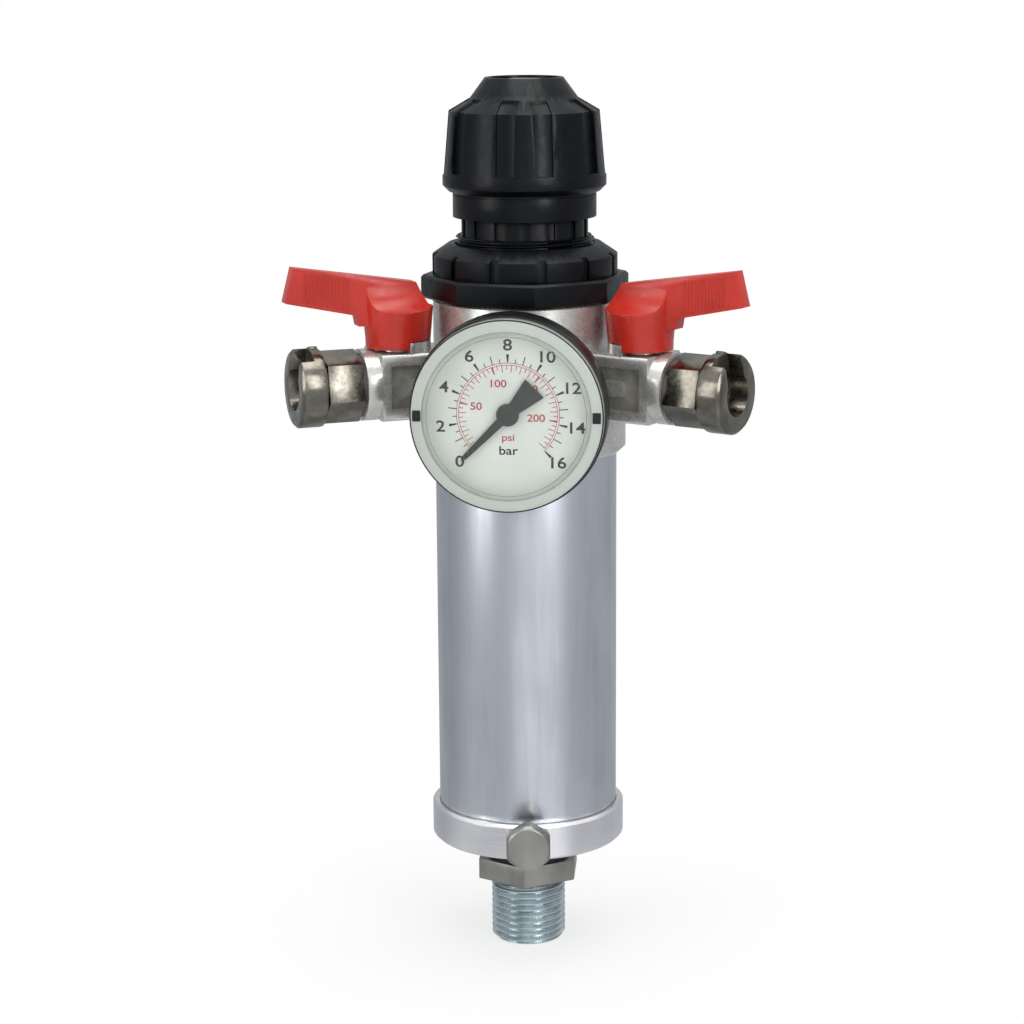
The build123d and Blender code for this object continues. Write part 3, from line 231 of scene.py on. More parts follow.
def round_edges(piece, radius, limit=32, segments=2):
    """Round the edges that are sharper than a limit."""
    hold(piece)
    rounding = piece.modifiers.new("rounding", "BEVEL")
    rounding.width = radius
    rounding.segments = segments
    rounding.limit_method = "ANGLE"
    rounding.angle_limit = math.radians(limit)
    bpy.ops.object.modifier_apply(modifier="rounding")


def cut(piece, tool, operation="DIFFERENCE"):
    """Shape a piece with a closed tool, which is used up."""
    hold(piece)
    step = piece.modifiers.new("cut", "BOOLEAN")
    step.operation = operation
    step.object = tool
    step.solver = "EXACT"
    bpy.ops.object.modifier_apply(modifier="cut")
    bpy.data.objects.remove(tool)


def pick_faces(piece, wanted):
    """Open a piece in edit mode with only those faces selected whose centre and normal are wanted."""
    hold(piece)
    for corners in (piece.data.vertices, piece.data.edges, piece.data.polygons):
        corners.foreach_set("select", [False] * len(corners))
    for face in piece.data.polygons:
        face.select = bool(wanted(face.center, face.normal))
    bpy.context.tool_settings.mesh_select_mode = (False, False, True)
    bpy.ops.object.mode_set(mode="EDIT")


def rod(radius, low, high, sides=96):
    """A closed round bar on the Z axis, as a start for a turned shape or a tool."""
    deselect()
    bpy.ops.mesh.primitive_cylinder_add(vertices=sides, radius=radius, depth=high - low,
                                        location=(0, 0, (low + high) / 2))
    bar = bpy.context.object
    bpy.ops.object.transform_apply(location=True, rotation=True, scale=True)
    return bar


def ring(outer, inner, low, high, sides=96):
    """A closed round ring on the Z axis: a bar whose end faces are inset and bridged."""
    tube = rod(outer, low, high, sides)
    pick_faces(tube, lambda centre, normal: abs(normal.z) > 0.9)
    bpy.ops.mesh.inset(thickness=outer - inner)
    bpy.ops.mesh.bridge_edge_loops()
    bpy.ops.object.mode_set(mode="OBJECT")
    return tube


def thread_ridge(crest, root, pitch, low, high, lead, steps=64):
    """A closed screw thread's ridge: one square profile, narrowed at its crest, screwed round the Z axis
    past both ends and trimmed to the thread's length with a lead-in at each end."""
    sunk = 0.15 * MM
    deselect()
    bpy.ops.mesh.primitive_plane_add(size=1, location=((crest + root - sunk) / 2, 0, low - 2 * pitch),
                                     rotation=(math.pi / 2, 0, 0))
    ridge = bpy.context.object
    ridge.scale = (crest - root + sunk, 0.9 * pitch, 1)
    bpy.ops.object.transform_apply(location=True, rotation=True, scale=True)
    for corner in ridge.data.vertices:
        corner.select = corner.co.x > (crest + root) / 2
    for edge in ridge.data.edges:
        edge.select = all(ridge.data.vertices[end].select for end in edge.vertices)
    for face in ridge.data.polygons:
        face.select = False
    bpy.context.tool_settings.mesh_select_mode = (True, False, False)
    bpy.ops.object.mode_set(mode="EDIT")
    bpy.ops.transform.resize(value=(1, 1, 0.16))
    bpy.ops.mesh.select_all(action="SELECT")
    bpy.ops.mesh.delete(type="ONLY_FACE")
    bpy.ops.object.mode_set(mode="OBJECT")
    winding = ridge.modifiers.new("winding", "SCREW")
    winding.axis = "Z"
    winding.screw_offset = pitch
    winding.iterations = math.ceil((high - low) / pitch) + 4
    winding.steps = winding.render_steps = steps
    bpy.ops.object.modifier_apply(modifier="winding")
    bpy.ops.object.mode_set(mode="EDIT")
    bpy.ops.mesh.select_all(action="SELECT")
    bpy.ops.mesh.remove_doubles(threshold=0.001 * MM)
    bpy.ops.mesh.fill_holes(sides=4)
    bpy.ops.mesh.normals_make_consistent(inside=False)
    bpy.ops.object.mode_set(mode="OBJECT")
    trim = rod(crest, low, high, 2 * steps)
    round_edges(trim, lead, segments=1)
    cut(ridge, trim, "INTERSECT")
    return ridge


def join(piece, *others):
    """Make one mesh of several."""
    hold(piece)
    for other in others:
        other.select_set(True)
    bpy.ops.object.join()
    return piece


def place_piece(piece, name, body, slot, material, *nodes):
    """Put a finished piece at the origin with its place in its mesh, give it its name and material, hang it on its
    body and hide the CAD nodes it stands for.
    """
    hold(piece)
    bpy.ops.object.transform_apply(location=True, rotation=True, scale=True)
    piece.name = name
    if material:
        piece.data.materials.clear()
        piece.data.materials.append(material)
    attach(piece, body)
    if nodes:
        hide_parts(*nodes)
    return piece


def new_material(name, **values):
    """A material with its Principled shader's sockets set; returns it with its node tree and shader."""
    material = bpy.data.materials.new(name)
    material.use_nodes = True
    shader = material.node_tree.nodes["Principled BSDF"]
    for socket, value in values.items():
        shader.inputs[socket.replace("_", " ")].default_value = value
    return material, material.node_tree, shader


def grain(tree, size, detail=3, stretch=(1, 1, 1)):
    """Noise on the piece's own coordinates with grains of a real size in metres; returns its output socket."""
    place = add_node(tree, "ShaderNodeTexCoord")
    stretched = add_node(tree, "ShaderNodeMapping", values={"Scale": stretch},
                         links={"Vector": place.outputs["Object"]})
    noise = add_node(tree, "ShaderNodeTexNoise", values={"Scale": 1 / size, "Detail": detail},
                     links={"Vector": stretched.outputs["Vector"]})
    return noise.outputs["Fac"]


def vary(tree, shader, socket, source, low, high, spread=(0.35, 0.65)):
    """Feed a number or a colour socket from a noise, between a low and a high value."""
    if socket == "Base Color":
        ramp = add_node(tree, "ShaderNodeValToRGB", links={"Fac": source})
        set_ramp(ramp, [(spread[0], colour(low)), (spread[1], colour(high))])
        tree.links.new(ramp.outputs["Color"], shader.inputs[socket])
    else:
        span = add_node(tree, "ShaderNodeMapRange", values={"From Min": spread[0], "From Max": spread[1],
                                                            "To Min": low, "To Max": high},
                        links={"Value": source})
        tree.links.new(span.outputs["Result"], shader.inputs[socket])


def rough_up(tree, shader, source, depth):
    """Raise and lower the surface in the light by a real depth in metres."""
    bump = add_node(tree, "ShaderNodeBump", values={"Distance": depth}, links={"Height": source})
    tree.links.new(bump.outputs["Normal"], shader.inputs["Normal"])


def zinc_plate(name, dark, light, roughness, cloud=9 * MM, stretch=(1, 1, 0.35)):
    """Zinc-plated steel: a soft grey shine, faintly clouded by the bath, with the drawing or turning
    marks of the steel showing through."""
    material, tree, shader = new_material(name, Metallic=1.0)
    vary(tree, shader, "Base Color", grain(tree, cloud, 4, stretch), dark, light)
    vary(tree, shader, "Roughness", grain(tree, 2 * MM), roughness - 0.05, roughness + 0.07)
    rough_up(tree, shader, grain(tree, 1.0 * MM), 0.002 * MM)
    return material


INLET_THREAD_RADIUS = 20.955 / 2 * MM
INLET_THREAD_DEPTH = 1.16 * MM
INLET_THREAD_PITCH = 25.4 / 14 * MM
INLET_THREAD_END = 17.4 * MM
INLET_LEAD = 1.1 * MM
THREAD_ZINC = zinc_plate("blue_zinc_plate", "#C2CDD1", "#D6DFE1", 0.28, 4 * MM, (1, 1, 1))
HEX_ZINC = zinc_plate("turned_zinc_plate", "#8B8A84", "#A3A29C", 0.32)

inlet = cad_copy("inlet_nipple", 0.3 * MM)
inlet_root = INLET_THREAD_RADIUS - INLET_THREAD_DEPTH
cut(inlet, ring(INLET_THREAD_RADIUS + 2 * MM, inlet_root, -1 * MM, INLET_THREAD_END, 128))
bpy.ops.object.shade_smooth_by_angle(angle=math.radians(32))
inlet_thread = thread_ridge(INLET_THREAD_RADIUS, inlet_root, INLET_THREAD_PITCH, 0, INLET_THREAD_END, INLET_LEAD)
place_piece(inlet, "inlet_nipple_piece", "unit", "zinc_plated_steel", HEX_ZINC, "inlet_nipple")
inlet.data.materials.append(THREAD_ZINC)
for face in inlet.data.polygons:
    face.material_index = 1 if face.center.z < INLET_THREAD_END else 0
hold(inlet_thread)
bpy.ops.object.shade_smooth_by_angle(angle=math.radians(25))
place_piece(inlet_thread, "inlet_thread_piece", "unit", "zinc_plated_steel", THREAD_ZINC)


# Seals: flat rings and cords of black rubber and pressed fibre, squeezed between the pieces.
# Rubber is dull, with a faint bloom.
def finish_nodes(material, *nodes):
    """Give CAD nodes that stay as they are their finish."""
    for node in nodes:
        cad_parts[node].data.materials.clear()
        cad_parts[node].data.materials.append(material)


rubber, tree, shader = new_material("moulded_nitrile_rubber", Base_Color=colour("#17181A"), Roughness=0.7)
vary(tree, shader, "Roughness", grain(tree, 1.5 * MM), 0.62, 0.8)
seal_fibre, tree, shader = new_material("pressed_seal_fibre", Roughness=0.85)
vary(tree, shader, "Base Color", grain(tree, 0.4 * MM), "#4B4642", "#5C554F")
finish_nodes(rubber, "nipple_seal", "bottom_tube_seal", "top_tube_seal", "diaphragm", "left_stem_seal",
             "right_stem_seal")
finish_nodes(seal_fibre, "drain_seal", "left_coupling_seal", "right_coupling_seal", "gauge_seal")


# Tie tube: the standpipe in the middle, zinc-plated steel tube with a thread at each end. It clamps the
# cap and the separator tube to the body.
finish_nodes(HEX_ZINC, "tie_tube")


# Deflector and filter: a moulded skirt throws the water to the wall, a sintered plastic sleeve holds back
# the dirt, and a moulded nut holds the sleeve. The sintered grains give it a dull, sandy surface.
def black_polyamide(name, code, roughness, grit=0.25 * MM, relief=0.003 * MM):
    """Moulded black polyamide: a little blue in the black, and a fine spark-eroded texture that spreads
    the lights into a soft sheen."""
    material, tree, shader = new_material(name, Base_Color=colour(code), IOR=1.5, Specular_IOR_Level=0.20)
    vary(tree, shader, "Roughness", grain(tree, 3 * MM), roughness - 0.04, roughness + 0.06)
    rough_up(tree, shader, grain(tree, grit, 2), relief)
    return material


inner_moulding = black_polyamide("plain_moulded_polyamide", "#121315", 0.45)
finish_nodes(inner_moulding, "air_deflector", "filter_retainer", "spring_nut")
sintered, tree, shader = new_material("sintered_polyethylene", Roughness=0.9)
grains = grain(tree, 0.3 * MM, 2)
vary(tree, shader, "Base Color", grains, "#CFCDC2", "#EDEBE2")
rough_up(tree, shader, grains, 0.06 * MM)
finish_nodes(sintered, "filter_element")


# Bottom cap: a shallow cup turned from aluminium bar that the tube stands in, with the drain screw in the
# side of its sump. The turning tool leaves fine rings that draw the lights out into bright bands.
bright_aluminium, tree, shader = new_material("turned_aluminium", Metallic=1.0)
vary(tree, shader, "Base Color", grain(tree, 12 * MM, 2, (1, 1, 0.3)), "#EAE8E9", "#F4F2F3")
vary(tree, shader, "Roughness", grain(tree, 1.2 * MM, 3, (0.1, 0.1, 3)), 0.18, 0.32)
TURNING_FEED = 0.30 * MM
place = add_node(tree, "ShaderNodeTexCoord")
rings = add_node(tree, "ShaderNodeTexWave", {"bands_direction": "Z"},
                 {"Scale": 0.05 / TURNING_FEED, "Distortion": 0.4}, {"Vector": place.outputs["Object"]})
rough_up(tree, shader, rings.outputs["Fac"], 0.006 * MM)
cap = cad_copy("bottom_cap", 0.25 * MM)
place_piece(cap, "bottom_cap_piece", "unit", "turned_aluminium", bright_aluminium, "bottom_cap")


# Drain screw: a hexagon-head screw in zinc-plated steel, turned back by hand to let the water out. The
# corners of its head are turned off to a cone in front.
DRAIN_TURN = math.radians(6.5)
DRAIN_HEAD_HEIGHT = 36.6 * MM
DRAIN_HEAD_RADIUS = 6.55 * MM
DRAIN_CORNER = 1.0 * MM
drain = cad_copy("drain_screw")
drain_low, drain_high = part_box("drain_screw")
head_end = -drain_low[1] / math.cos(DRAIN_TURN) - DRAIN_HEAD_RADIUS * math.tan(DRAIN_TURN)
head_trim = rod(DRAIN_HEAD_RADIUS, -60 * MM, head_end)
round_edges(head_trim, DRAIN_CORNER, segments=1)
head_trim.rotation_euler = (math.pi / 2, 0, DRAIN_TURN)
head_trim.location = (0, 0, DRAIN_HEAD_HEIGHT)
cut(drain, head_trim, "INTERSECT")
round_edges(drain, 0.15 * MM)
bpy.ops.object.shade_smooth_by_angle(angle=math.radians(25))
place_piece(drain, "drain_screw_piece", "drain", "zinc_plated_steel", HEX_ZINC, "drain_screw")


# Separator tube: drawn steel tube, zinc plated and clear passivated. The drawing leaves long faint
# streaks, and the bath leaves pale clouds, so that its shine is mottled.
tube_zinc, tree, shader = new_material("drawn_tube_zinc_plate", Metallic=1.0)
streaks = grain(tree, 2.2 * MM, 3, (1, 1, 0.06))
clouds = grain(tree, 11 * MM, 5, (1, 1, 0.5))
mottle = add_node(tree, "ShaderNodeMath", {"operation": "MULTIPLY_ADD"}, {1: 0.45}, {0: streaks})
half_clouds = add_node(tree, "ShaderNodeMath", {"operation": "MULTIPLY"}, {1: 0.55}, {0: clouds})
tree.links.new(half_clouds.outputs[0], mottle.inputs[2])
vary(tree, shader, "Base Color", mottle.outputs[0], "#C6CACF", "#D8DBE0", (0.36, 0.64))
vary(tree, shader, "Roughness", mottle.outputs[0], 0.38, 0.28, (0.40, 0.60))
rough_up(tree, shader, grain(tree, 6 * MM, 3, (1, 1, 0.15)), 0.012 * MM)
tube = cad_copy("separator_tube", 0.2 * MM)
place_piece(tube, "separator_tube_piece", "unit", "zinc_plated_steel", tube_zinc, "separator_tube")


# Valve body: zinc alloy, pressure die cast in one piece with its two arms, then tumbled and bright
# plated. The cast skin stays a little uneven under the plating, so that reflections break up on it.
die_cast, tree, shader = new_material("bright_die_cast_zinc", Metallic=0.68, Coat_Weight=0.25,
                                      Coat_Roughness=0.12)
skin = grain(tree, 7 * MM, 3)
vary(tree, shader, "Base Color", skin, "#BDBCB7", "#D3D2CD")
vary(tree, shader, "Roughness", grain(tree, 1.6 * MM), 0.22, 0.36)
rough_up(tree, shader, grain(tree, 5 * MM, 2), 0.035 * MM)
ARM_TURN = math.radians(64)
ARM_HEIGHT = 162.9 * MM
ARM_HALF_WIDTH = 9 * MM
POCKET_DEPTH = 1.3 * MM
POCKET_HALF_HEIGHT = 6 * MM
POCKET_START = 27 * MM
POCKET_END = 42 * MM
# Pocket floors: a darker, rougher zinc on the faces inside the recessed panels of the arms. It is painted shade
# that outlines the recesses.
pocket_painted_shade, tree, shader = new_material("pocket_painted_shade_zinc", Metallic=0.4)
vary(tree, shader, "Base Color", grain(tree, 3 * MM), "#8D8C83", "#A5A49A")
vary(tree, shader, "Roughness", grain(tree, 1.0 * MM), 0.34, 0.50)
rough_up(tree, shader, grain(tree, 1.5 * MM, 3), 0.03 * MM)
body_casting = cad_copy("valve_body", 0.45 * MM)
place_piece(body_casting, "valve_body_piece", "unit", "die_cast_metal", die_cast, "valve_body")


def in_pocket(centre):
    """Whether a face lies in one of the hollow panels on the sides of the two arms."""
    side = math.copysign(1, centre.x)
    across = abs(side * centre.x * math.cos(ARM_TURN) + centre.y * math.sin(ARM_TURN))
    sunk = ARM_HALF_WIDTH - across
    along = side * centre.x * math.sin(ARM_TURN) - centre.y * math.cos(ARM_TURN)
    return (0.35 * POCKET_DEPTH < sunk < 1.2 * POCKET_DEPTH and POCKET_START < along < POCKET_END
            and abs(centre.z - ARM_HEIGHT) < POCKET_HALF_HEIGHT)


# The faces in the pockets take the darker zinc of the painted shade.
body_casting.data.materials.append(pocket_painted_shade)
for face in body_casting.data.polygons:
    face.material_index = 1 if in_pocket(face.center) else 0


# Valve: a brass seat pressed into the body, and a poppet that its spring holds shut. Turned brass is
# yellow and bright, dulled a little by the air.
brass, tree, shader = new_material("turned_brass", Metallic=1.0)
vary(tree, shader, "Base Color", grain(tree, 4 * MM), "#B8924A", "#D2AC62")
vary(tree, shader, "Roughness", grain(tree, 0.6 * MM), 0.22, 0.38)
finish_nodes(brass, "valve_seat", "poppet", "gauge_socket", "movement_plates", "pinion_arbor", "sector_gear",
             "gauge_link", "bourdon_tube", "left_stem", "right_stem")


# Springs, spindle and plate: bright drawn and turned steel, lightly oiled. The regulating spring stands
# on the plate and shortens as the nut comes down; the poppet's spring shortens as the valve opens.
bright_steel, tree, shader = new_material("bright_drawn_steel", Metallic=1.0)
vary(tree, shader, "Base Color", grain(tree, 5 * MM), "#9FA0A1", "#B9BABB")
vary(tree, shader, "Roughness", grain(tree, 0.8 * MM), 0.24, 0.36)
finish_nodes(bright_steel, "adjusting_spindle", "thrust_washer", "knob_screw", "diaphragm_plate")
SPRING_TRAVELS = {"regulating_spring": ("spring_nut_travel", 8.1 * MM), "poppet_spring": ("valve_lift", 1.2 * MM)}
for node, (joint, travel) in SPRING_TRAVELS.items():
    spring = cad_copy(node)
    place_piece(spring, f"{node}_piece", "unit", "bright_steel", bright_steel, node)
    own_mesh(spring)


# Seats and slip ring: white fluoropolymer, turned from bar. It is waxy: light goes a little way in.
white_seat, tree, shader = new_material("turned_fluoropolymer", Base_Color=colour("#ECECE8"), Roughness=0.42,
                                        Subsurface_Weight=0.2, Subsurface_Scale=1.0 * MM)
finish_nodes(white_seat, "slip_ring", "left_inner_seat", "right_inner_seat", "left_outer_seat",
             "right_outer_seat")


# Bonnet: glass-filled black polyamide. Its collar has a fine thread for the panel nut, and the neck above
# has grooves all round that lock the knob. The ribs between the grooves catch the light.
BONNET_THREAD_RADIUS = 18.9 * MM
BONNET_THREAD_PITCH = 1.5 * MM
BONNET_THREAD_DEPTH = 0.9 * MM
BONNET_THREAD_BASE = 191.4 * MM
BONNET_THREAD_TOP = 201.4 * MM
bonnet_polyamide = black_polyamide("bonnet_glass_filled_polyamide", "#04060A", 0.36)
bonnet = cad_copy("bonnet", 0.3 * MM)
bonnet_root = BONNET_THREAD_RADIUS - BONNET_THREAD_DEPTH
cut(bonnet, ring(BONNET_THREAD_RADIUS + 1 * MM, bonnet_root, BONNET_THREAD_BASE, BONNET_THREAD_TOP + 1 * MM, 128))
bpy.ops.object.shade_smooth_by_angle(angle=math.radians(32))
place_piece(bonnet, "bonnet_piece", "unit", "black_plastic", bonnet_polyamide, "bonnet")
bonnet_thread = thread_ridge(BONNET_THREAD_RADIUS, bonnet_root, BONNET_THREAD_PITCH, BONNET_THREAD_BASE,
                             BONNET_THREAD_TOP, 0.5 * MM)
bpy.ops.object.shade_smooth_by_angle(angle=math.radians(25))
place_piece(bonnet_thread, "bonnet_thread_piece", "unit", "black_plastic", bonnet_polyamide)


# Panel nut: black polyamide, moulded with slots for a hook spanner. It screws down the bonnet's collar
# and would clamp a panel or a bracket on the bonnet's flange.
nut_polyamide = black_polyamide("nut_polyamide", "#04070B", 0.38)
panel_nut = cad_copy("panel_nut", 0.35 * MM)
place_piece(panel_nut, "panel_nut_piece", "unit", "black_plastic", nut_polyamide, "panel_nut")


# Knob: black polyamide, moulded with broad grip ribs and pairs of windows, a cone and a round mouth that
# shows the screw. It slides up to unlock and then turns the spindle.
knob_polyamide = black_polyamide("knob_polyamide", "#04080C", 0.30, 0.4 * MM, 0.001 * MM)
knob = cad_copy("knob", 0.35 * MM)
place_piece(knob, "knob_piece", "knob", "knob_plastic", knob_polyamide, "knob")


# Balls: brass, ground round and hard chromed, so that they mirror sharply.
chromed_ball = new_material("ground_chromed_ball", Base_Color=colour("#D8DADC"), Metallic=1.0, Roughness=0.08)[0]
finish_nodes(chromed_ball, "left_ball", "right_ball")


# Levers: red polyamide, moulded in one piece with a hub over the stem and a blade to push. The outer half
# of the blade has fine upright ribs on both sides for the finger.
TAP_REACH = 36.4 * MM
BLADE_FACE = 2.5 * MM
RIB_FIRST = 14.5 * MM
RIB_LAST = 26.5 * MM
RIB_PITCH = 1.0 * MM
RIB_WIDTH = 0.5 * MM
RIB_STAND = 0.22 * MM
HUB_TOP = ARM_HEIGHT + ARM_HALF_WIDTH + (3.1 + 8.6) * MM
red_polyamide, tree, shader = new_material("red_moulded_polyamide", IOR=1.5, Subsurface_Weight=0.06,
                                           Subsurface_Radius=(1.0 * MM, 0.3 * MM, 0.2 * MM))
vary(tree, shader, "Base Color", grain(tree, 14 * MM, 2), "#B2261A", "#C22E20")
vary(tree, shader, "Roughness", grain(tree, 2.5 * MM), 0.26, 0.36)
rough_up(tree, shader, grain(tree, 0.5 * MM, 2), 0.001 * MM)


def blade_edge(reach, inner, outer):
    """Height of a blade's edge above the hub's top, on the straight line between two of its corners."""
    share = (reach - inner[0]) / (outer[0] - inner[0])
    return inner[1] + share * (outer[1] - inner[1])


def finger_rib(reach, side):
    """One upright rib on one face of the blade, in the lever's own directions before it is turned."""
    low = blade_edge(reach, (12.0 * MM, -1.7 * MM), (31.4 * MM, 2.5 * MM)) + 0.9 * MM
    high = blade_edge(reach, (-4.6 * MM, 6.6 * MM), (29.0 * MM, 11.8 * MM)) - 0.9 * MM
    deselect()
    bpy.ops.mesh.primitive_cube_add(size=1, location=(TAP_REACH + reach, side * BLADE_FACE,
                                                      HUB_TOP + (low + high) / 2))
    rib = bpy.context.object
    rib.scale = (RIB_WIDTH, 2 * RIB_STAND, high - low)
    bpy.ops.object.transform_apply(location=True, rotation=True, scale=True)
    round_edges(rib, 0.15 * MM)
    return rib


for side, name in ((-1, "left"), (1, "right")):
    lever = cad_copy(f"{name}_lever", 0.45 * MM)
    place_piece(lever, f"{name}_lever_piece", f"{name}_tap", "red_plastic", red_polyamide, f"{name}_lever")
    rib_count = round((RIB_LAST - RIB_FIRST) / RIB_PITCH)
    ribs = [finger_rib(RIB_FIRST + number * RIB_PITCH, face) for number in range(rib_count + 1) for face in (-1, 1)]
    grip = join(*ribs)
    grip.rotation_euler = (0, 0, -math.pi / 2 + side * ARM_TURN)
    place_piece(grip, f"{name}_lever_ribs_piece", f"{name}_tap", "red_plastic", red_polyamide)


# Couplings: brass bar turned and milled, then nickel plated. The plating is warm and bright, with the
# marks of the tool and of use under it. A claw stands inward of the rim and locks the hose tail.
nickel, tree, shader = new_material("nickel_plate_on_turned_brass", Metallic=1.0)
wear = grain(tree, 6 * MM, 3)
vary(tree, shader, "Base Color", wear, "#67645B", "#868177")
vary(tree, shader, "Roughness", grain(tree, 1.2 * MM, 3), 0.14, 0.28)
rough_up(tree, shader, grain(tree, 5 * MM, 2), 0.020 * MM)
COLLAR_REACH = (58.7 * MM, 61.5 * MM)
COLLAR_RADIUS = 10.55 * MM
CUP_RADIUS = 5.85 * MM
EAR_SIZE = (2.6 * MM, 6.5 * MM, 1.6 * MM)
EAR_REACH = 9.9 * MM
EAR_TURN = math.radians(20)
for side, name in ((-1, "left"), (1, "right")):
    coupling = cad_copy(f"{name}_coupling", 0.3 * MM)
    place_piece(coupling, f"{name}_coupling_piece", "unit", "nickel_plate", nickel, f"{name}_coupling")

    # The collar closes the ring behind the notch, and its ear is the stop for the hose tail's claw
    collar = ring(COLLAR_RADIUS, CUP_RADIUS, *COLLAR_REACH)
    deselect()
    bpy.ops.mesh.primitive_cube_add(size=1, location=(0, 0, 0))
    ear = bpy.context.object
    ear.scale = (EAR_SIZE[2], EAR_SIZE[1], EAR_SIZE[0])
    bpy.ops.object.transform_apply(location=True, rotation=True, scale=True)
    ear.location = (-EAR_REACH * math.cos(EAR_TURN), side * EAR_REACH * math.sin(EAR_TURN),
                    sum(COLLAR_REACH) / 2)
    ear.rotation_euler = (0, 0, -side * EAR_TURN)
    hold(ear)
    bpy.ops.object.transform_apply(location=True, rotation=True, scale=True)
    collar = join(collar, ear)
    round_edges(collar, 0.3 * MM)
    bpy.ops.object.shade_smooth_by_angle(angle=math.radians(32))
    upright = Matrix.Translation((0, 0, ARM_HEIGHT)) @ Matrix.Rotation(-math.pi / 2 + side * ARM_TURN, 4, "Z")
    collar.matrix_world = upright @ Matrix.Rotation(math.pi / 2, 4, "Y")
    place_piece(collar, f"{name}_coupling_collar_piece", "unit", "nickel_plate", nickel)


# Gauge case: pressed steel cup, painted black, with its rim standing round the lens.
GAUGE_HEIGHT = 159.1 * MM
case_paint, tree, shader = new_material("black_stove_enamel", Base_Color=colour("#0E0F11"), Roughness=0.35)
vary(tree, shader, "Roughness", grain(tree, 2 * MM), 0.30, 0.42)
gauge_case = cad_copy("gauge_case", 0.25 * MM)
place_piece(gauge_case, "gauge_case_piece", "unit", "gauge_case_paint", case_paint, "gauge_case")


# Gauge dial: sheet aluminium with white paint and a printed scale. The black scale is in bar, from 0 at
# the lower left over 270 degrees to 16 at the lower right, and the red scale inside it is in psi.
DIAL_SWEEP = 270
DIAL_START = 225
DIAL_BAR = 16
PSI_PER_BAR = 14.5038
PRINT_RISE = 0.03 * MM
dial_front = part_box("gauge_dial")[0][1]
dial_paint, tree, shader = new_material("white_dial_paint", Roughness=0.55)
vary(tree, shader, "Base Color", grain(tree, 8 * MM, 2), "#D3DAD1", "#DBE1D9")
black_ink = new_material("black_printing_ink", Base_Color=colour("#1B1C1E"), Roughness=0.6)[0]
red_ink = new_material("red_printing_ink", Base_Color=colour("#B23A50"), Roughness=0.6)[0]
dial = cad_copy("gauge_dial")
place_piece(dial, "gauge_dial_piece", "unit", "dial_paint", dial_paint, "gauge_dial")


def dial_turn(bar):
    """The direction of a reading on the dial, as an angle from +X towards +Z."""
    return math.radians(DIAL_START - DIAL_SWEEP * bar / DIAL_BAR)


def on_dial(mark, ink, angle, radius):
    """Stand a flat mark up on the dial's front at an angle and a radius, and give it its ink."""
    mark.location = (radius * math.cos(angle), dial_front - PRINT_RISE, GAUGE_HEIGHT + radius * math.sin(angle))
    hold(mark)
    bpy.ops.object.transform_apply(location=True, rotation=True, scale=True)
    mark.data.materials.clear()
    mark.data.materials.append(ink)
    return mark


def tick(bar, inner, outer, width, ink, taper=1.0):
    """A radial stroke, its inner end narrowed by a share."""
    deselect()
    bpy.ops.mesh.primitive_plane_add(size=1)
    stroke = bpy.context.object
    stroke.scale = (outer - inner, width, 1)
    bpy.ops.object.transform_apply(location=True, rotation=True, scale=True)
    for corner in stroke.data.vertices:
        if corner.co.x < 0:
            corner.co.y *= taper
    stroke.rotation_euler = (math.pi / 2, -dial_turn(bar), 0)
    return on_dial(stroke, ink, dial_turn(bar), (inner + outer) / 2)


def figure(words, bar, radius, height, ink, widen=1.0):
    """Printed characters, standing upright with their middle at a reading and a radius."""
    deselect()
    bpy.ops.object.text_add(rotation=(math.pi / 2, 0, 0))
    text = bpy.context.object
    text.data.body = words
    text.data.size = height / 0.72
    text.data.align_x = "CENTER"
    text.data.align_y = "CENTER"
    text.data.offset = 0.022 * height
    text.scale = (widen, 1, 1)
    bpy.ops.object.convert(target="MESH")
    return on_dial(bpy.context.object, ink, dial_turn(bar), radius)


def circle_line(radius, width, ink):
    """A printed circle line that is left open at the bottom, where the scale has no readings."""
    deselect()
    bpy.ops.mesh.primitive_circle_add(vertices=180, radius=radius - width / 2, fill_type="NOTHING",
                                      rotation=(math.pi / 2, 0, 0))
    line = bpy.context.object
    bpy.ops.object.transform_apply(location=True, rotation=True, scale=True)
    bpy.context.tool_settings.mesh_select_mode = (False, True, False)
    bpy.ops.object.mode_set(mode="EDIT")
    bpy.ops.mesh.select_all(action="SELECT")
    bpy.ops.mesh.extrude_region()
    growth = (radius + width / 2) / (radius - width / 2)
    bpy.ops.transform.resize(value=(growth, 1, growth))
    gap = math.radians(360 - DIAL_SWEEP) / 2
    pick_faces(line, lambda centre, normal: abs(math.atan2(centre.x, -centre.z)) < gap)
    bpy.ops.mesh.delete(type="FACE")
    bpy.ops.mesh.select_all(action="SELECT")
    bpy.ops.mesh.normals_make_consistent(inside=False)
    bpy.ops.object.mode_set(mode="OBJECT")
    if line.data.polygons[0].normal.y > 0:
        bpy.ops.object.mode_set(mode="EDIT")
        bpy.ops.mesh.flip_normals()
        bpy.ops.object.mode_set(mode="OBJECT")
    return on_dial(line, ink, 0, 0)


SCALE_RADIUS = 13.5 * MM
FIGURE_RADIUS = 18.1 * MM
LAST_PSI = 230
marks = []
for half in range(2 * DIAL_BAR + 1):
    bar = half / 2
    if half % 4 == 0:
        marks.append(tick(bar, SCALE_RADIUS + 0.2 * MM, SCALE_RADIUS + 2.3 * MM, 0.75 * MM, black_ink, 0.45))
    elif half % 2 == 0:
        marks.append(tick(bar, SCALE_RADIUS, SCALE_RADIUS + 2.3 * MM, 0.26 * MM, black_ink))
    else:
        marks.append(tick(bar, SCALE_RADIUS, SCALE_RADIUS + 1.1 * MM, 0.24 * MM, black_ink))
for bar in range(0, DIAL_BAR + 1, 2):
    marks.append(figure(str(bar), bar, FIGURE_RADIUS, 3.0 * MM, black_ink, 1.2))
for radius in (SCALE_RADIUS, SCALE_RADIUS - 0.55 * MM):
    marks.append(circle_line(radius, 0.16 * MM, red_ink))
red_start = SCALE_RADIUS - 0.6 * MM
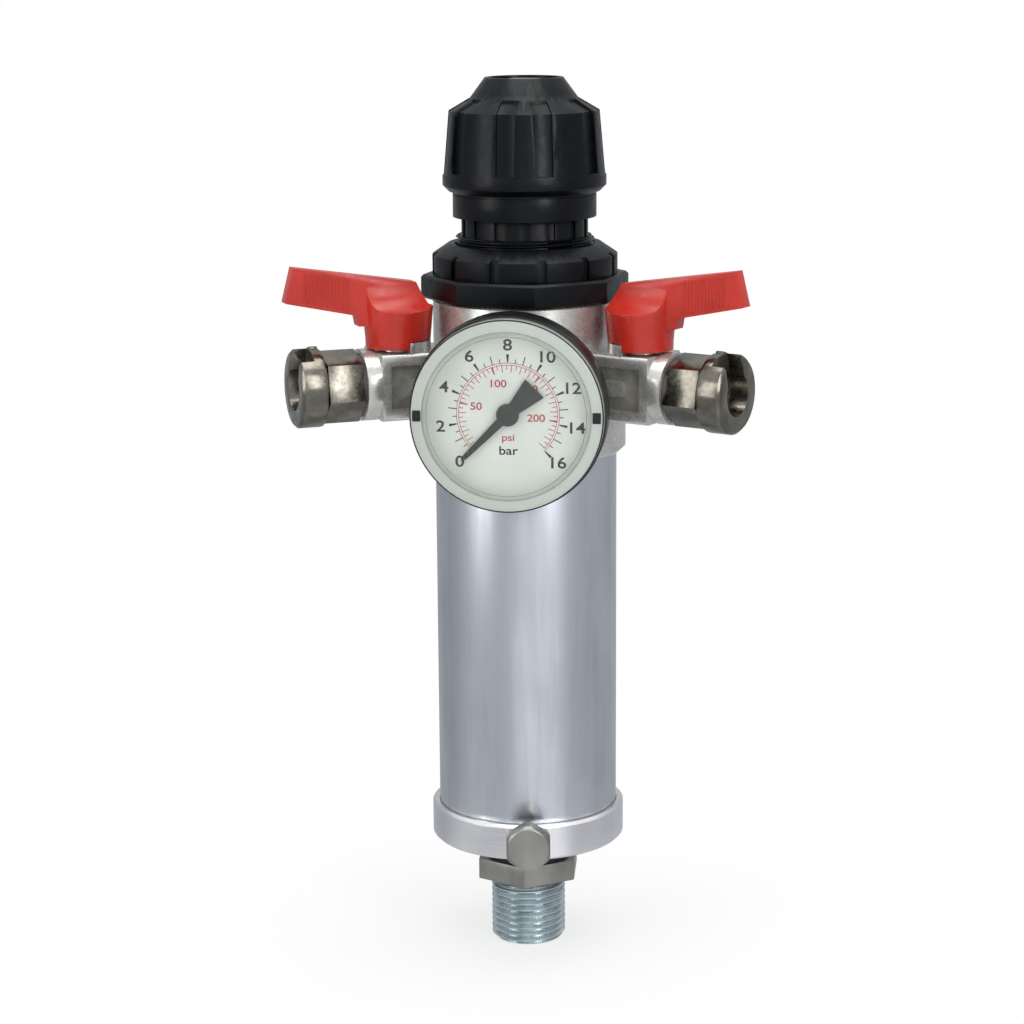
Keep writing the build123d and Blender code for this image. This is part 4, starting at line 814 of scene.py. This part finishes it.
for psi in range(0, LAST_PSI + 1, 5):
    if psi % 50 == 0:
        marks.append(tick(psi / PSI_PER_BAR, red_start - 2.0 * MM, red_start, 0.6 * MM, red_ink, 0.5))
    else:
        length = (1.9 if psi % 10 == 0 else 1.1) * MM
        marks.append(tick(psi / PSI_PER_BAR, red_start - length, red_start, 0.2 * MM, red_ink))
for psi, radius in ((50, 8.6), (100, 8.4), (150, 8.6), (200, 7.4)):
    marks.append(figure(str(psi), psi / PSI_PER_BAR, radius * MM, 2.0 * MM, red_ink, 1.15))
middle_below = DIAL_BAR / 2 - 180 * DIAL_BAR / DIAL_SWEEP
marks.append(figure("psi", middle_below, 6.2 * MM, 1.9 * MM, red_ink, 1.2))
marks.append(figure("bar", middle_below, 9.7 * MM, 2.3 * MM, black_ink, 1.2))
print_layer = join(*marks)
place_piece(print_layer, "gauge_scale_piece", "unit", "dial_paint", None)


# Gauge pointer: sheet aluminium, painted black: a slim hand, a round hub over the arbor and a broad tail
# that balances the hand.
POINTER_TURN = math.radians(225)
HUB_RADIUS = 3.0 * MM
TAIL_END = 9.6 * MM
TAIL_ROOT_WIDTH = 2.2 * MM
TAIL_END_WIDTH = 4.8 * MM
pointer_low, pointer_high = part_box("gauge_pointer")
pointer_paint, tree, shader = new_material("black_pointer_paint", Base_Color=colour("#121315"), Roughness=0.45)
pointer = cad_copy("gauge_pointer", 0.05 * MM)
place_piece(pointer, "gauge_pointer_piece", "pointer", "pointer_paint", pointer_paint, "gauge_pointer")
deselect()
bpy.ops.mesh.primitive_cylinder_add(vertices=48, radius=HUB_RADIUS, depth=0.9 * MM, rotation=(math.pi / 2, 0, 0),
                                    location=(0, pointer_low[1] + 0.15 * MM, GAUGE_HEIGHT))
hub = bpy.context.object
bpy.ops.object.transform_apply(location=True, rotation=True, scale=True)
round_edges(hub, 0.3 * MM)
deselect()
bpy.ops.mesh.primitive_cube_add(size=1, location=(-TAIL_END / 2, 0, 0))
tail = bpy.context.object
tail.scale = (TAIL_END, 0.4 * MM, TAIL_END_WIDTH)
bpy.ops.object.transform_apply(location=True, rotation=True, scale=True)
for corner in tail.data.vertices:
    if corner.co.x > -TAIL_END / 2:
        corner.co.z *= TAIL_ROOT_WIDTH / TAIL_END_WIDTH
round_edges(tail, 0.15 * MM)
tail.rotation_euler = (0, -POINTER_TURN, 0)
tail.location = (0, (pointer_low[1] + pointer_high[1]) / 2, GAUGE_HEIGHT)
hold(tail)
bpy.ops.object.transform_apply(location=True, rotation=True, scale=True)
pointer_back = join(hub, tail)
bpy.ops.object.shade_smooth_by_angle(angle=math.radians(30))
place_piece(pointer_back, "gauge_pointer_tail_piece", "pointer", "pointer_paint", pointer_paint)


# Gauge lens: clear polycarbonate, moulded as a shallow cap that snaps into the case. Its face is clear;
# its thick rim is frosted by the mould and shows milky over the dial. It has no depth of colour and bends
# the view very little, so it is drawn as a thin clear skin with a gloss.
LENS_CLEAR_RADIUS = 21.9 * MM
LENS_RIM_START = 22.3 * MM
LENS_CLEAR_VEIL = 0.05
LENS_RIM_VEIL = 0.80
lens_plastic, tree, shader = new_material("clear_moulded_polycarbonate", Base_Color=colour("#C3CAC2"),
                                          Roughness=0.06, IOR=1.58, Specular_IOR_Level=0.8)
place = add_node(tree, "ShaderNodeTexCoord")
centred = add_node(tree, "ShaderNodeMapping", values={"Location": (0, 0, -GAUGE_HEIGHT), "Scale": (1, 0, 1)},
                   links={"Vector": place.outputs["Object"]})
reach = add_node(tree, "ShaderNodeVectorMath", {"operation": "LENGTH"}, links={0: centred.outputs["Vector"]})
veil = add_node(tree, "ShaderNodeMapRange", values={"From Min": LENS_CLEAR_RADIUS, "From Max": LENS_RIM_START,
                                                    "To Min": LENS_CLEAR_VEIL, "To Max": LENS_RIM_VEIL},
                links={"Value": reach.outputs["Value"]})
tree.links.new(veil.outputs["Result"], shader.inputs["Alpha"])
lens = cad_copy("gauge_lens", 0.2 * MM)
place_piece(lens, "gauge_lens_piece", "unit", "clear_plastic", lens_plastic, "gauge_lens")

BEAD_RADII = (20.9 * MM, 22.1 * MM)
BEAD_SIZE = 0.10 * MM
lens_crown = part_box("gauge_lens")[0][1]
LENS_DOME_RISE = 1.0 * MM
lens_rim_front = lens_crown + LENS_DOME_RISE
lens_step, tree, shader = new_material("moulded_polycarbonate_edge", Base_Color=colour("#8C938D"),
                                       Roughness=0.25, IOR=1.58)
steps = []
for step_radius in BEAD_RADII:
    deselect()
    bpy.ops.mesh.primitive_torus_add(major_radius=step_radius, minor_radius=BEAD_SIZE, major_segments=160,
                                     minor_segments=8, rotation=(math.pi / 2, 0, 0),
                                     location=(0, lens_rim_front - 0.25 * MM, GAUGE_HEIGHT))
    steps.append(bpy.context.object)
bead = join(*steps)
bpy.ops.object.shade_smooth()
place_piece(bead, "gauge_lens_bead_piece", "unit", "clear_plastic", lens_step)

RIM_RADIUS = 25.15 * MM
RIM_SIZE = 0.22 * MM
deselect()
bpy.ops.mesh.primitive_torus_add(major_radius=RIM_RADIUS, minor_radius=RIM_SIZE, major_segments=160,
                                 minor_segments=12, rotation=(math.pi / 2, 0, 0),
                                 location=(0, lens_rim_front + 0.25 * MM, GAUGE_HEIGHT))
rim = bpy.context.object
bpy.ops.object.shade_smooth()
place_piece(rim, "gauge_rim_piece", "unit", "gauge_case_paint", case_paint)

TAB_REACH = 23.5 * MM
TAB_WIDTH = 2.2 * MM
TAB_HEIGHT = 2.9 * MM
TAB_DEPTH = 1.4 * MM
tabs = []
for side in (-1, 1):
    deselect()
    bpy.ops.mesh.primitive_cube_add(size=1, location=(side * TAB_REACH, lens_rim_front + TAB_DEPTH / 2 - 0.3 * MM,
                                                      GAUGE_HEIGHT))
    tab = bpy.context.object
    tab.scale = (TAB_WIDTH, TAB_DEPTH, TAB_HEIGHT)
    bpy.ops.object.transform_apply(location=True, rotation=True, scale=True)
    round_edges(tab, 0.25 * MM)
    tabs.append(tab)
place_piece(join(*tabs), "gauge_tabs_piece", "unit", "gauge_case_paint", case_paint)
